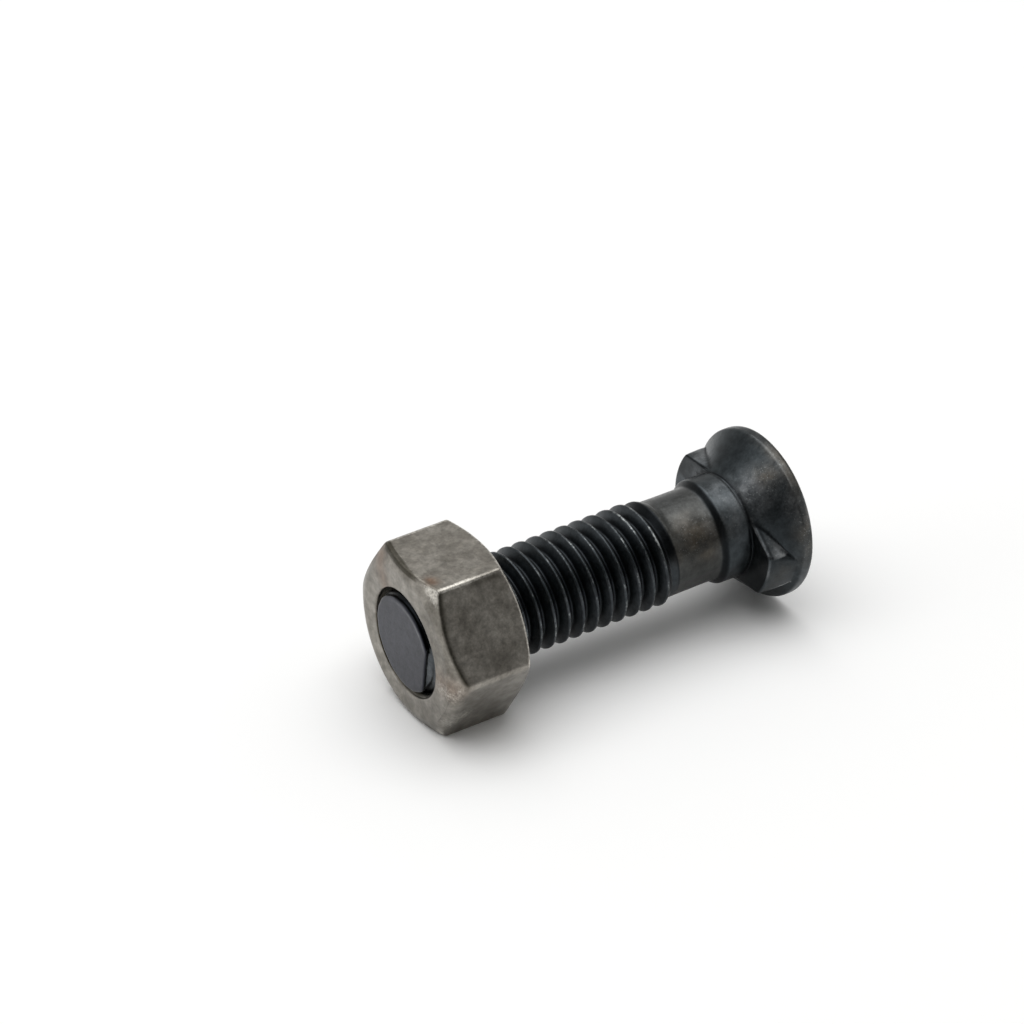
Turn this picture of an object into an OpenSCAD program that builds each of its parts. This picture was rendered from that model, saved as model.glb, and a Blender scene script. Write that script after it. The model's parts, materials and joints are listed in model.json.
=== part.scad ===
// Plow bolt with its hex nut, lying on the nut's flat and the rim of the head.
// The bolt is one forging: a flat countersunk head with two opposite nibs that keep it from
// turning in the share, a collar that fills the hole, a plain shank and a rolled thread.

/* [Thread] */
// Outside diameter of the thread
thread_d = 10; // [8:0.5:14]
// Distance from one thread crest to the next
thread_pitch = 1.5; // [1:0.25:2]
// Length of the thread, with its run-out
thread_length = 26; // [20:0.5:60]
// Length over which the thread fades into the shank
run_out = 2.2; // [1.5:0.1:4]
// Width of the flat on top of the thread
crest_flat = 0.2; // [0.1:0.05:0.3]
// Width of the flat at the bottom of the thread
root_flat = 0.35; // [0.2:0.05:0.4]
// Diameter of the flat end of the bolt
end_d = 9.2; // [6:0.1:9.4]
// Turn of the thread's start around the bolt, from its underside
thread_turn = -168; // [-180:1:180]

/* [Shank and collar] */
// Diameter of the plain shank, the blank that the thread was rolled on
shank_d = 9.1; // [7:0.1:9.8]
// Length of the plain shank
shank_length = 5.2; // [1:0.1:40]
// Diameter of the collar that fills the hole in the share
collar_d = 10.1; // [9.9:0.1:12]
// Length of the collar, with the chamfer at its foot
collar_length = 3; // [2:0.1:8]

/* [Head] */
// Diameter of the head
head_d = 16.4; // [14:0.1:22]
// Included angle of the countersunk underside
cone_angle = 80; // [60:1:100]
// Height of the rim around the head
rim_height = 0.8; // [0.6:0.1:2]
// Radius on the outer edge of the rim
rim_round = 0.35; // [0.1:0.05:0.5]

/* [Nibs] */
// How far the nibs stay inside the rim of the head
nib_inset = 0.8; // [0.4:0.05:1.5]
// Width of a nib at its tip
nib_tip_w = 4.6; // [3:0.1:6]
// How far inside the collar the nibs' sides start, at the middle of the bolt
nib_side_inset = 0.1; // [0.05:0.05:0.5]
// Turn of the nibs around the bolt, from its underside
nib_turn = -72; // [-180:1:180]

/* [Nut] */
// Width of the nut across its flats
nut_af = 16; // [15:0.5:22]
// Height of the nut
nut_height = 8.4; // [5:0.1:12]
// Diameter of the round face at each end of the nut
nut_face_d = 14.4; // [13:0.1:15]
// Mean angle of the crowned chamfer on the nut's corners
nut_chamfer_angle = 27; // [15:1:40]
// Diameter of the mouth of the nut's hole
nut_mouth_d = 10.8; // [10.4:0.1:12]
// Play between the thread and the nut, on the radius
nut_play = 0.06; // [0.02:0.01:0.1]
// Distance from the end of the bolt to the nut's outer face
nut_setback = 0.2; // [0:0.1:12]

/* [Hidden] */
$fn = 96;

// Straight sides in one turn of the thread
thread_sides = 32;
// Depth of a rolled thread as a share of its pitch, for a 60 degree profile
thread_depth_share = 0.6134;
// Height of the first thread turn above the end of the bolt, where its helix starts
thread_start = 0.15;
// How far the core of the thread reaches past its last turn, inside the shank, and stays under its surface
core_lap = 0.3;
core_under = 0.05;
// Steps in the rounded edge of the rim
round_steps = 6;
// How far a cut reaches past the faces that it opens
cut_over = 1;

thread_r = thread_d / 2;
root_r = thread_r - thread_depth_share * thread_pitch;
end_r = end_d / 2;
shank_r = shank_d / 2;
collar_r = collar_d / 2;
head_r = head_d / 2;
nib_r = head_r - nib_inset;
nib_root = collar_r - nib_side_inset;

// Stations along the bolt, from its threaded end
collar_foot = thread_length + shank_length;
cone_foot = collar_foot + collar_length;
rim_foot = cone_foot + (head_r - collar_r) / tan(cone_angle / 2);
bolt_length = rim_foot + rim_height;

nut_corner_r = nut_af / 2 / cos(30);
nut_face_r = nut_face_d / 2;
nut_crown_r = (nut_face_r + nut_corner_r) / 2 / sin(nut_chamfer_angle);
nut_crown_depth = sqrt(pow(nut_crown_r, 2) - pow(nut_face_r, 2));
nut_flat_chamfer = nut_crown_depth - sqrt(pow(nut_crown_r, 2) - pow(nut_af / 2, 2));
nut_bore_r = thread_r + nut_play;
nut_mouth_depth = nut_mouth_d / 2 - nut_bore_r;

// The bolt rests on the rim of its head and on the outer edge of the nut's lower flat
rest_tilt = atan((head_r - nut_af / 2) / (rim_foot - nut_setback - nut_flat_chamfer));
rest_height = head_r * cos(rest_tilt) - rim_foot * sin(rest_tilt);

// Rows of points in one pitch of the thread: foot, crest, crest, foot
flank = (thread_pitch - crest_flat - root_flat) / 2;
row_rise = [0, flank, flank + crest_flat, 2 * flank + crest_flat];
row_r = [root_r, thread_r, thread_r, root_r];
rows_per_turn = len(row_rise);
thread_turns = floor((thread_length - thread_start) / thread_pitch);
thread_rows = thread_turns * rows_per_turn;
core_top = thread_start + thread_pitch * (thread_turns + 1) + core_lap;

function row_z(row, side) =
    thread_start + row_rise[row % rows_per_turn]
    + thread_pitch * (floor(row / rows_per_turn) + side / thread_sides);

// The chamfer at the end cuts the crests down, and the run-out fades them into the shank
function fade(z) = max(0, min(1, (thread_length - z) / run_out));
function thread_radius(row, z) =
    let (full = min(row_r[row % rows_per_turn], end_r + z), plain = shank_r - core_under)
    plain + (full - plain) * fade(z);

function ring(r, z) =
    [for (side = [0:thread_sides - 1])
        let (turn = 360 * side / thread_sides)
        [r * cos(turn), r * sin(turn), z]];

function thread_row(row) =
    [for (side = [0:thread_sides - 1])
        let (turn = 360 * side / thread_sides, z = row_z(row, side), r = thread_radius(row, z))
        [r * cos(turn), r * sin(turn), z]];

// Where a point of the thread stands in its list: the end ring comes first
function at(row, side) = (row + 1) * thread_sides + side;
function bottom(side) = side % thread_sides;
function top(side) = (thread_rows + 1) * thread_sides + side % thread_sides;

// Lays a piece that stands on the end of the bolt down into its resting place
module lay_down() {
    translate([-bolt_length / 2 * cos(rest_tilt), 0, rest_height])
        rotate([0, 90 - rest_tilt, 0])
            children();
}

// Rolled right-hand thread with its core, one closed skin that climbs a row at each turn
module thread() {
    last = thread_sides - 1;
    points = concat(
        ring(end_r, 0),
        [for (row = [0:thread_rows - 1]) each thread_row(row)],
        ring(shank_r - core_under, core_top)
    );
    walls = [
        for (row = [0:thread_rows - 2], side = [0:last - 1])
            each [
                [at(row, side), at(row + 1, side), at(row + 1, side + 1)],
                [at(row, side), at(row + 1, side + 1), at(row, side + 1)]
            ]
    ];
    seam = [
        for (row = [0:thread_rows - rows_per_turn - 2])
            let (up = row + rows_per_turn)
            each [
                [at(row, last), at(row + 1, last), at(up + 1, 0)],
                [at(row, last), at(up + 1, 0), at(up, 0)]
            ]
    ];
    foot = [
        for (side = [0:last - 1])
            each [
                [bottom(side), at(0, side), at(0, side + 1)],
                [bottom(side), at(0, side + 1), bottom(side + 1)]
            ]
    ];
    foot_seam = concat(
        [[bottom(last), at(0, last), at(0, 0)], [bottom(last), at(0, 0), bottom(0)]],
        [for (row = [0:rows_per_turn - 1]) [at(0, last), at(row + 1, 0), at(row, 0)]]
    );
    head = [
        for (side = [0:last - 1])
            each [
                [at(thread_rows - 1, side), top(side), top(side + 1)],
                [at(thread_rows - 1, side), top(side + 1), at(thread_rows - 1, side + 1)]
            ]
    ];
    head_seam = concat(
        [for (row = [thread_rows - 1 - rows_per_turn:thread_rows - 2])
            [at(row, last), at(row + 1, last), at(thread_rows - 1, 0)]],
        [[at(thread_rows - 1, last), top(last), top(0)],
         [at(thread_rows - 1, last), top(0), at(thread_rows - 1, 0)]]
    );
    caps = [
        [for (side = [0:last]) bottom(side)],
        [for (side = [last:-1:0]) top(side)]
    ];
    polyhedron(points, concat(walls, seam, foot, foot_seam, head, head_seam, caps));
}

// Outline of the shank, the collar, the countersunk underside and the rim
module forging_outline() {
    polygon(concat(
        [
            [0, thread_length],
            [shank_r, thread_length],
            [shank_r, collar_foot],
            [collar_r, collar_foot + collar_r - shank_r],
            [collar_r, cone_foot],
            [head_r, rim_foot]
        ],
        [for (step = [0:round_steps])
            let (turn = 90 * step / round_steps)
            [head_r - rim_round * (1 - cos(turn)), bolt_length - rim_round * (1 - sin(turn))]],
        [[0, bolt_length]]
    ));
}

// Both nibs in plan: nearly as wide as the collar at the middle, narrower at the tips
module nib_plan() {
    intersection() {
        polygon([
            [0, nib_root],
            [nib_r, nib_tip_w / 2],
            [nib_r, -nib_tip_w / 2],
            [0, -nib_root],
            [-nib_r, -nib_tip_w / 2],
            [-nib_r, nib_tip_w / 2]
        ]);
        circle(nib_r);
    }
}

// Black forged bolt: head, nibs, collar, shank and thread in one piece
module plow_bolt() {
    color("#3d3f43")
        lay_down() {
            rotate_extrude()
                forging_outline();
            translate([0, 0, cone_foot])
                rotate([0, 0, nib_turn])
                    linear_extrude(rim_foot - cone_foot)
                        nib_plan();
            rotate([0, 0, thread_turn])
                thread();
        }
}

// Hexagon whose corners are turned down at both ends by a shallow crown
module nut_blank() {
    intersection() {
        rotate([0, 0, 30])
            cylinder(r = nut_corner_r, h = nut_height, $fn = 6);
        translate([0, 0, nut_crown_depth])
            sphere(nut_crown_r);
        translate([0, 0, nut_height - nut_crown_depth])
            sphere(nut_crown_r);
    }
}

// Hole of the nut, with a countersunk mouth at each end
module nut_hole() {
    translate([0, 0, -cut_over])
        cylinder(r = nut_bore_r, h = nut_height + 2 * cut_over);
    for (end = [0, 1])
        translate([0, 0, end * nut_height])
            mirror([0, 0, end])
                cylinder(r1 = nut_mouth_d / 2, r2 = nut_bore_r, h = nut_mouth_depth);
}

// Plain steel nut, chamfered at both ends, just behind the end of the bolt
module hex_nut() {
    color("#9b968f")
        lay_down()
            translate([0, 0, nut_setback])
                difference() {
                    nut_blank();
                    nut_hole();
                }
}

plow_bolt();
hex_nut();
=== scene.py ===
"""Dresses a packed plow bolt and its nut for the camera.

The bolt is one black forging with a rolled thread, and the nut is bare steel. Each is a closed mesh that
stands for the plain solid of its body. Sizes are in millimetres unless a name or a note says otherwise. The
bolt's own axes are x down, y sideways and z from its threaded end towards its head. Turns are angles round z.
"""

from __future__ import annotations

import json
import logging
import math
from dataclasses import dataclass
from enum import Enum

import bmesh
import bpy
import numpy as np
from mathutils import Matrix, Vector, noise

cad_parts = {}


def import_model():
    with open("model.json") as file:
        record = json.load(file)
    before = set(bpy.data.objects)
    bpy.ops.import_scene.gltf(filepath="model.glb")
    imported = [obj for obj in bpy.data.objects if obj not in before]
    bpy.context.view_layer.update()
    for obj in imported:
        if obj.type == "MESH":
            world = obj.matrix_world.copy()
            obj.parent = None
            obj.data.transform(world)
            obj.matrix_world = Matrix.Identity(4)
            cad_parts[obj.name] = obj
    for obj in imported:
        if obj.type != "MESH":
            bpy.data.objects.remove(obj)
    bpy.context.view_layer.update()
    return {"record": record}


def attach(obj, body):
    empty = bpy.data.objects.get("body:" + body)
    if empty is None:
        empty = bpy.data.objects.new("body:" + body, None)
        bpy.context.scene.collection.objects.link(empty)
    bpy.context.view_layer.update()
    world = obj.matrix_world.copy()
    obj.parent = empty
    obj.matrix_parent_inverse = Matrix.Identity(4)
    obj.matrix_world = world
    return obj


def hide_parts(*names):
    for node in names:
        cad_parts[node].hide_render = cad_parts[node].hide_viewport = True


LOG = logging.getLogger("plow_bolt")
MM = 0.001
# Points nearer each other than this are joined
WELD = 0.002
# The thread that the bolt and the nut share, with the height of one of its crests at turn 0
PITCH = 1.5
CREST_AT = 1.4257
# Points in a ring, and their turns in radians where they are spread evenly
COLUMNS = 144
EVEN = np.arange(COLUMNS) * math.tau / COLUMNS
# Points nearer the axis than this have no clear outward direction
AXIS_R = 0.5
# Where a thread's flank starts and ends, in pitches from the middle of the crest
FLANK = (0.05, 0.45)
# The turn in degrees on the bolt's far side from which its turns are counted
SEAM = -240.0
# Heights that no thread here reaches, for one that doesn't run out
NO_FADE = (900.0, 901.0)
Pair = tuple[float, float]


class WearAndLight(Enum):
    """Vertex attributes that the finishes read, which carry painted light as well as real marks."""

    STATION = "station"
    # Rubbed edges and crests, and painted highlights, glints and reflections
    WEAR_AND_HIGHLIGHT = "wear_and_highlight"
    # Grime and dull patches, and painted shade and shadow
    SHADE_AND_DIRT = "shade_and_dirt"
    # Light scale, and painted highlights and glints
    PALE_AND_HIGHLIGHT = "pale_and_highlight"
    BROWN = "brown"


def linear(code: str) -> tuple[float, float, float, float]:
    """Turns an sRGB colour into linear light.

    Args:
        code: a hash sign and six hex digits.

    Returns:
        Red, green and blue in linear light, and an alpha of 1.
    """
    channels = [int(code[at:at + 2], 16) / 255 for at in (1, 3, 5)]
    light = [c / 12.92 if c <= 0.04045 else ((c + 0.055) / 1.055) ** 2.4 for c in channels]
    return (light[0], light[1], light[2], 1.0)


def add_node(
    tree: bpy.types.NodeTree,
    kind: str,
    settings: dict[str, object] | None = None,
    links: dict[str | int, object] | None = None,
) -> bpy.types.Node:
    """Adds a node to a tree, with its settings and what goes into it.

    Args:
        tree: the node tree.
        kind: the node's type name.
        settings: values of the node's own properties.
        links: for each input, the output that feeds it or a constant.

    Returns:
        The new node.
    """
    node = tree.nodes.new(kind)
    for name, value in (settings or {}).items():
        setattr(node, name, value)
    for key, source in (links or {}).items():
        if isinstance(source, bpy.types.NodeSocket):
            tree.links.new(source, node.inputs[key])
        else:
            node.inputs[key].default_value = source
    return node


def smooth_step(low: float | np.ndarray, high: float | np.ndarray, value: np.ndarray) -> np.ndarray:
    """Rises smoothly from 0 at the first limit to 1 at the second, which may also be the lower one.

    Args:
        low: where the share is 0.
        high: where the share is 1.
        value: the values to map.

    Returns:
        A share from 0 to 1 for each value.
    """
    share = np.clip((value - low) / (high - low), 0.0, 1.0)
    return share * share * (3.0 - 2.0 * share)


def soft_min(first: np.ndarray, second: np.ndarray, width: float) -> np.ndarray:
    """Takes the lower of two surfaces and rounds the crease between them.

    Args:
        first: heights of one surface.
        second: heights of the other.
        width: how far from equal the rounding starts.

    Returns:
        The rounded lower surface.
    """
    share = np.clip(0.5 + 0.5 * (second - first) / width, 0.0, 1.0)
    return second + (first - second) * share - width * share * (1.0 - share)


def turn_from(centre: float, turn: np.ndarray, period: float = math.tau) -> np.ndarray:
    """Measures angles both ways from a centre, all in radians.

    Args:
        centre: the angle that counts as 0.
        turn: the angles to measure.
        period: the angle after which the shape repeats.

    Returns:
        Angles of at most half a period.
    """
    return (turn - centre + period / 2) % period - period / 2


def rounded(points: list[Pair], setbacks: tuple[float, ...], steps: int = 6) -> np.ndarray:
    """Rounds the corners of an open outline.

    Args:
        points: the outline's corners, its two ends included.
        setbacks: how far before and after each inner corner its rounding starts.
        steps: straight pieces in one rounding.

    Returns:
        The outline's points, one row each.
    """
    corners = np.array(points, dtype=float)
    path = [corners[0]]
    for index, setback in enumerate(setbacks, start=1):
        corner = corners[index]
        before = corners[index - 1] - corner
        after = corners[index + 1] - corner
        start = corner + before * (setback / np.linalg.norm(before))
        end = corner + after * (setback / np.linalg.norm(after))
        for share in np.linspace(0.0, 1.0, steps + 1):
            path.append((1 - share) ** 2 * start + 2 * share * (1 - share) * corner + share ** 2 * end)
    path.append(corners[-1])
    return np.array(path)


def crowded_angles(centres: list[float], spread: float, crowd: float) -> np.ndarray:
    """Spreads the columns round the axis so that they stand closer where a shape turns sharply.

    Args:
        centres: angles of the sharp places, in radians.
        spread: half width of a crowded place, in degrees.
        crowd: how many times closer the columns stand there, less one.

    Returns:
        One rising angle for each column, in radians.
    """
    fine = np.linspace(0.0, math.tau, 50 * COLUMNS + 1)
    density = np.ones_like(fine)
    for centre in centres:
        density += crowd * np.exp(-0.5 * (turn_from(centre, fine) / math.radians(spread)) ** 2)
    total = np.concatenate([[0.0], np.cumsum((density[1:] + density[:-1]) / 2)])
    return np.interp(np.arange(COLUMNS) / COLUMNS, total / total[-1], fine)


def ring_points(radius: float | np.ndarray, turn: np.ndarray, height: float | np.ndarray) -> np.ndarray:
    """Places points round the axis, one row each."""
    return np.stack([radius * np.cos(turn), radius * np.sin(turn), np.zeros_like(turn) + height], axis=1)


def loft(name: str, rings: list[np.ndarray], tip: np.ndarray | None = None) -> bpy.types.Mesh:
    """Skins a stack of rings that have one point for each column.

    Args:
        name: the mesh's name.
        rings: the points of each ring, one row each.
        tip: the point that closes the last ring, if it is closed.

    Returns:
        The skin as an open mesh.
    """
    points = [tuple(point) for ring in rings for point in ring]
    faces = []
    for low in range(0, (len(rings) - 1) * COLUMNS, COLUMNS):
        for column in range(COLUMNS):
            after = (column + 1) % COLUMNS
            faces.append((low + column, low + after, low + COLUMNS + after, low + COLUMNS + column))
    if tip is not None:
        last = (len(rings) - 1) * COLUMNS
        faces += [(last + column, last + (column + 1) % COLUMNS, len(points)) for column in range(COLUMNS)]
        points.append(tuple(tip))
    mesh = bpy.data.meshes.new(name)
    mesh.from_pydata(points, [], faces)
    return mesh


def welded(name: str, shells: list[bpy.types.Mesh]) -> bpy.types.Mesh:
    """Joins open shells along their shared rings.

    Args:
        name: the mesh's name.
        shells: the shells, which are used up.

    Returns:
        One closed mesh with its faces outwards.
    """
    whole = bmesh.new()
    for shell in shells:
        whole.from_mesh(shell)
        bpy.data.meshes.remove(shell)
    bmesh.ops.remove_doubles(whole, verts=whole.verts, dist=WELD)
    bmesh.ops.recalc_face_normals(whole, faces=whole.faces)
    loose = sum(not edge.is_manifold for edge in whole.edges)
    LOG.info("%s: %d faces, %d open edges", name, len(whole.faces), loose)
    mesh = bpy.data.meshes.new(name)
    whole.to_mesh(mesh)
    whole.free()
    return mesh


def points_of(mesh: bpy.types.Mesh) -> np.ndarray:
    """Reads a mesh's points.

    Args:
        mesh: the mesh.

    Returns:
        The points, one row each.
    """
    flat = np.empty(len(mesh.vertices) * 3)
    mesh.vertices.foreach_get("co", flat)
    return flat.reshape(-1, 3)


def move_points(mesh: bpy.types.Mesh, points: np.ndarray) -> None:
    """Gives a mesh's points new places."""
    mesh.vertices.foreach_set("co", points.reshape(-1))
    mesh.update()


def outward_of(points: np.ndarray) -> np.ndarray:
    """Directions away from the axis, which shrink to nothing on the axis itself."""
    radius = np.hypot(points[:, 0], points[:, 1])
    return points * [1.0, 1.0, 0.0] / np.maximum(radius, AXIS_R)[:, None]


def show(mesh: bpy.types.Mesh, points: np.ndarray, material: bpy.types.Material) -> bpy.types.Object:
    """Puts a finished piece into the scene under its mesh's name.

    Args:
        mesh: the piece's mesh.
        points: the places of its points in the row frame.
        material: its only material.

    Returns:
        The piece.
    """
    move_points(mesh, points)
    mesh.materials.clear()
    mesh.materials.append(material)
    mesh.shade_smooth()
    piece = bpy.data.objects.new(mesh.name, mesh)
    bpy.context.scene.collection.objects.link(piece)
    return piece


@dataclass(frozen=True)
class Ramp:
    """A smooth rise from 0 to an amount between two values, or a fall where the second is the lower."""

    start: float
    end: float
    amount: float = 1.0

    def at(self, values: np.ndarray) -> np.ndarray:
        """Amount at each value."""
        return self.amount * smooth_step(self.start, self.end, values)


@dataclass(frozen=True)
class Stripe:
    """A soft stripe, strongest at its middle. A higher power gives it a flatter top."""

    middle: float
    width: float
    amount: float = 1.0
    power: int = 2

    def at(self, values: np.ndarray) -> np.ndarray:
        """Amount at each value."""
        return self.amount * np.exp(-(((values - self.middle) / self.width) ** self.power))


@dataclass(frozen=True)
class Mottle:
    """Unevenness of a forged, rolled or rubbed surface: its mean, its spread and the width of a patch."""

    mean: float
    spread: float
    width: float
    shift: float = 0.0

    def at(self, points: np.ndarray) -> np.ndarray:
        """Amount at each place.

        Args:
            points: places in the bolt's own millimetres.

        Returns:
            An amount within about the spread of the mean.
        """
        shift = Vector((self.shift, self.shift, self.shift))
        values = [noise.noise(Vector(point) / self.width + shift) for point in points]
        return self.mean + self.spread * np.array(values)


@dataclass(frozen=True)
class Spot:
    """A soft patch on the outside of the bolt or the nut, with its turn in degrees."""

    turn: float
    height: float
    reach: float
    stretch: float = 1.0
    amount: float = 1.0

    def at(self, points: np.ndarray) -> np.ndarray:
        """How strongly the patch covers each point.

        Args:
            points: places in the bolt's own millimetres.

        Returns:
            An amount that fades from the patch's middle.
        """
        turn = np.arctan2(points[:, 1], points[:, 0])
        away = turn_from(math.radians(self.turn), turn) * np.hypot(points[:, 0], points[:, 1])
        along = (points[:, 2] - self.height) / self.stretch
        return self.amount * np.exp(-((away / self.reach) ** 2) - ((along / self.reach) ** 2))


class Skin:
    """The points of a piece in the bolt's own millimetres, and the marks and painted light laid on them."""

    def __init__(self, points: np.ndarray) -> None:
        """Starts with nothing laid on the points.

        Args:
            points: the piece's points, one row each.
        """
        self.points = points
        self.turn = np.arctan2(points[:, 1], points[:, 0])
        self.radius = np.hypot(points[:, 0], points[:, 1])
        self.height = points[:, 2]
        self.wear_and_light: dict[WearAndLight, np.ndarray] = {}

    def degrees(self, seam: float) -> np.ndarray:
        """Turns in degrees, counted up from a seam."""
        return (np.degrees(self.turn) - seam) % 360.0 + seam

    def facing(self, degrees: float) -> np.ndarray:
        """Cosine of the angle between each point's side and a turn in degrees."""
        return np.cos(self.turn - math.radians(degrees))

    def cover(self, spots: tuple[Spot, ...]) -> np.ndarray:
        """Takes the strongest of several patches at each point."""
        return np.max([spot.at(self.points) for spot in spots], axis=0)

    def add(self, kind: WearAndLight, amount: np.ndarray) -> None:
        """Lays marks and painted light on the points and keeps what is stronger there already."""
        self.wear_and_light[kind] = np.maximum(self.wear_and_light.get(kind, 0.0), amount)

    def store(self, mesh: bpy.types.Mesh) -> None:
        """Stores the marks and the painted light as attributes of a mesh's points.

        Args:
            mesh: the piece's mesh.
        """
        for kind, amount in self.wear_and_light.items():
            layer = mesh.attributes.new(kind.value, "FLOAT", "POINT")
            layer.data.foreach_set("value", amount.astype(np.float32))


@dataclass(frozen=True)
class BoltAxes:
    """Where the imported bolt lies: its threaded end and its own three directions."""

    tip: np.ndarray
    turn: np.ndarray

    @classmethod
    def from_record(cls, record: dict, length: float) -> BoltAxes:
        """Takes the bolt's place from the mounts.

        Args:
            record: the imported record.
            length: the bolt's length.

        Returns:
            Axes whose rows are down, sideways and along the bolt towards its head.
        """
        mounts = {mount["name"]: mount for mount in record["mounts"]}
        along = np.array(mounts["head_face"]["axis"])
        along /= np.linalg.norm(along)
        up = np.array(mounts["spanner_flat"]["axis"])
        down = along * (along @ up) - up
        down /= np.linalg.norm(down)
        face = np.array(mounts["head_face"]["pos_m"]) / MM
        return cls(face - along * length, np.stack([down, np.cross(along, down), along]))

    def place(self, points: np.ndarray) -> np.ndarray:
        """Moves points from the bolt's own millimetres to the row frame's metres."""
        return (self.tip + points @ self.turn) * MM


@dataclass(frozen=True)
class ThreadSkin:
    """A thread's skin between two square ends, made as a ribbon that climbs one pitch at each turn."""

    crest_r: float
    root_r: float
    foot: float
    foot_r: float
    foot_run: float
    top: float
    top_r: float
    top_run: float
    crest_fade: Pair = NO_FADE
    root_fade: Pair = NO_FADE
    profile_points: int = 21

    @staticmethod
    def tree() -> bpy.types.NodeTree:
        """Builds the thread's rule once: a flat grid wound round the axis, then welded turn to turn.

        Returns:
            The node tree, with its sizes as named inputs.
        """
        tree = bpy.data.node_groups.get("rolled_thread")
        if tree is not None:
            return tree
        tree = bpy.data.node_groups.new("rolled_thread", "GeometryNodeTree")
        tree.interface.new_socket("Geometry", in_out="OUTPUT", socket_type="NodeSocketGeometry")
        sizes = (
            "Pitch", "Crest Height", "Crest Radius", "Root Radius", "Foot Height", "Foot Radius", "Foot Run",
            "Top Height", "Top Radius", "Top Run", "Turns", "Middle Turn",
            "Crest Fade Start", "Crest Fade End", "Root Fade Start", "Root Fade End",
        )
        for label in sizes:
            tree.interface.new_socket(label, in_out="INPUT", socket_type="NodeSocketFloat")
        for label in ("Columns", "Profile Points"):
            tree.interface.new_socket(label, in_out="INPUT", socket_type="NodeSocketInt")
        tree.interface.new_socket("Material", in_out="INPUT", socket_type="NodeSocketMaterial")

        given = add_node(tree, "NodeGroupInput").outputs
        grid = add_node(tree, "GeometryNodeMeshGrid", links={
            "Size X": given["Turns"], "Size Y": 1.0,
            "Vertices X": given["Columns"], "Vertices Y": given["Profile Points"],
        })
        spot = add_node(tree, "GeometryNodeInputPosition").outputs[0]
        spot = add_node(tree, "ShaderNodeSeparateXYZ", links={0: spot}).outputs
        turn = add_node(tree, "ShaderNodeMath", {"operation": "ADD"}, {
            0: spot["X"], 1: given["Middle Turn"],
        }).outputs[0]

        # Height, held between the two ends
        crest = add_node(tree, "ShaderNodeMath", {"operation": "MULTIPLY_ADD"}, {
            0: turn, 1: given["Pitch"], 2: given["Crest Height"],
        }).outputs[0]
        free = add_node(tree, "ShaderNodeMath", {"operation": "MULTIPLY_ADD"}, {
            0: spot["Y"], 1: given["Pitch"], 2: crest,
        }).outputs[0]
        height = add_node(tree, "ShaderNodeClamp", links={
            "Value": free, "Min": given["Foot Height"], "Max": given["Top Height"],
        }).outputs[0]

        # Crests and roots, which run out one after the other along the helix
        side = add_node(tree, "ShaderNodeMath", {"operation": "SIGN"}, {0: spot["Y"]}).outputs[0]
        half = add_node(tree, "ShaderNodeMath", {"operation": "MULTIPLY"}, {
            0: given["Pitch"], 1: 0.5,
        }).outputs[0]
        root = add_node(tree, "ShaderNodeMath", {"operation": "MULTIPLY_ADD"}, {
            0: side, 1: half, 2: crest,
        }).outputs[0]
        radii = {}
        for label, station in (("Crest", crest), ("Root", root)):
            radii[label] = add_node(tree, "ShaderNodeMapRange", {"clamp": True}, {
                "Value": station,
                "From Min": given[f"{label} Fade Start"], "From Max": given[f"{label} Fade End"],
                "To Min": given[f"{label} Radius"], "To Max": given["Top Radius"],
            }).outputs[0]

        # Radius, straight flanks between crests and roots that fade into plain circles at the ends
        above = add_node(tree, "ShaderNodeMath", {"operation": "SUBTRACT"}, {0: height, 1: crest}).outputs[0]
        pitches = add_node(tree, "ShaderNodeMath", {"operation": "DIVIDE"}, {
            0: above, 1: given["Pitch"],
        }).outputs[0]
        wave = add_node(tree, "ShaderNodeMath", {"operation": "PINGPONG"}, {0: pitches, 1: 0.5}).outputs[0]
        profile = add_node(tree, "ShaderNodeMapRange", {"clamp": True}, {
            "Value": wave, "From Min": FLANK[0], "From Max": FLANK[1],
            "To Min": radii["Crest"], "To Max": radii["Root"],
        }).outputs[0]
        foot_end = add_node(tree, "ShaderNodeMath", {"operation": "ADD"}, {
            0: given["Foot Height"], 1: given["Foot Run"],
        }).outputs[0]
        started = add_node(tree, "ShaderNodeMapRange", {"clamp": True}, {
            "Value": height, "From Min": given["Foot Height"], "From Max": foot_end,
            "To Min": given["Foot Radius"], "To Max": profile,
        }).outputs[0]
        top_start = add_node(tree, "ShaderNodeMath", {"operation": "SUBTRACT"}, {
            0: given["Top Height"], 1: given["Top Run"],
        }).outputs[0]
        radius = add_node(tree, "ShaderNodeMapRange", {"clamp": True}, {
            "Value": height, "From Min": top_start, "From Max": given["Top Height"],
            "To Min": started, "To Max": given["Top Radius"],
        }).outputs[0]

        # Wound round the axis
        angle = add_node(tree, "ShaderNodeMath", {"operation": "MULTIPLY"}, {0: turn, 1: math.tau}).outputs[0]
        flat = []
        for operation in ("COSINE", "SINE"):
            way = add_node(tree, "ShaderNodeMath", {"operation": operation}, {0: angle}).outputs[0]
            flat.append(add_node(tree, "ShaderNodeMath", {"operation": "MULTIPLY"}, {
                0: radius, 1: way,
            }).outputs[0])
        place = add_node(tree, "ShaderNodeCombineXYZ", links={0: flat[0], 1: flat[1], 2: height}).outputs[0]
        wound = add_node(tree, "GeometryNodeSetPosition", links={
            "Geometry": grid.outputs["Mesh"], "Position": place,
        }).outputs[0]
        whole = add_node(tree, "GeometryNodeMergeByDistance", links={
            "Geometry": wound, "Distance": WELD,
        }).outputs[0]
        real = add_node(tree, "GeometryNodeRealizeInstances", links={"Geometry": whole}).outputs[0]
        painted = add_node(tree, "GeometryNodeSetMaterial", links={
            "Geometry": real, "Material": given["Material"],
        }).outputs[0]
        add_node(tree, "NodeGroupOutput", links={"Geometry": painted})
        return tree

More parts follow.
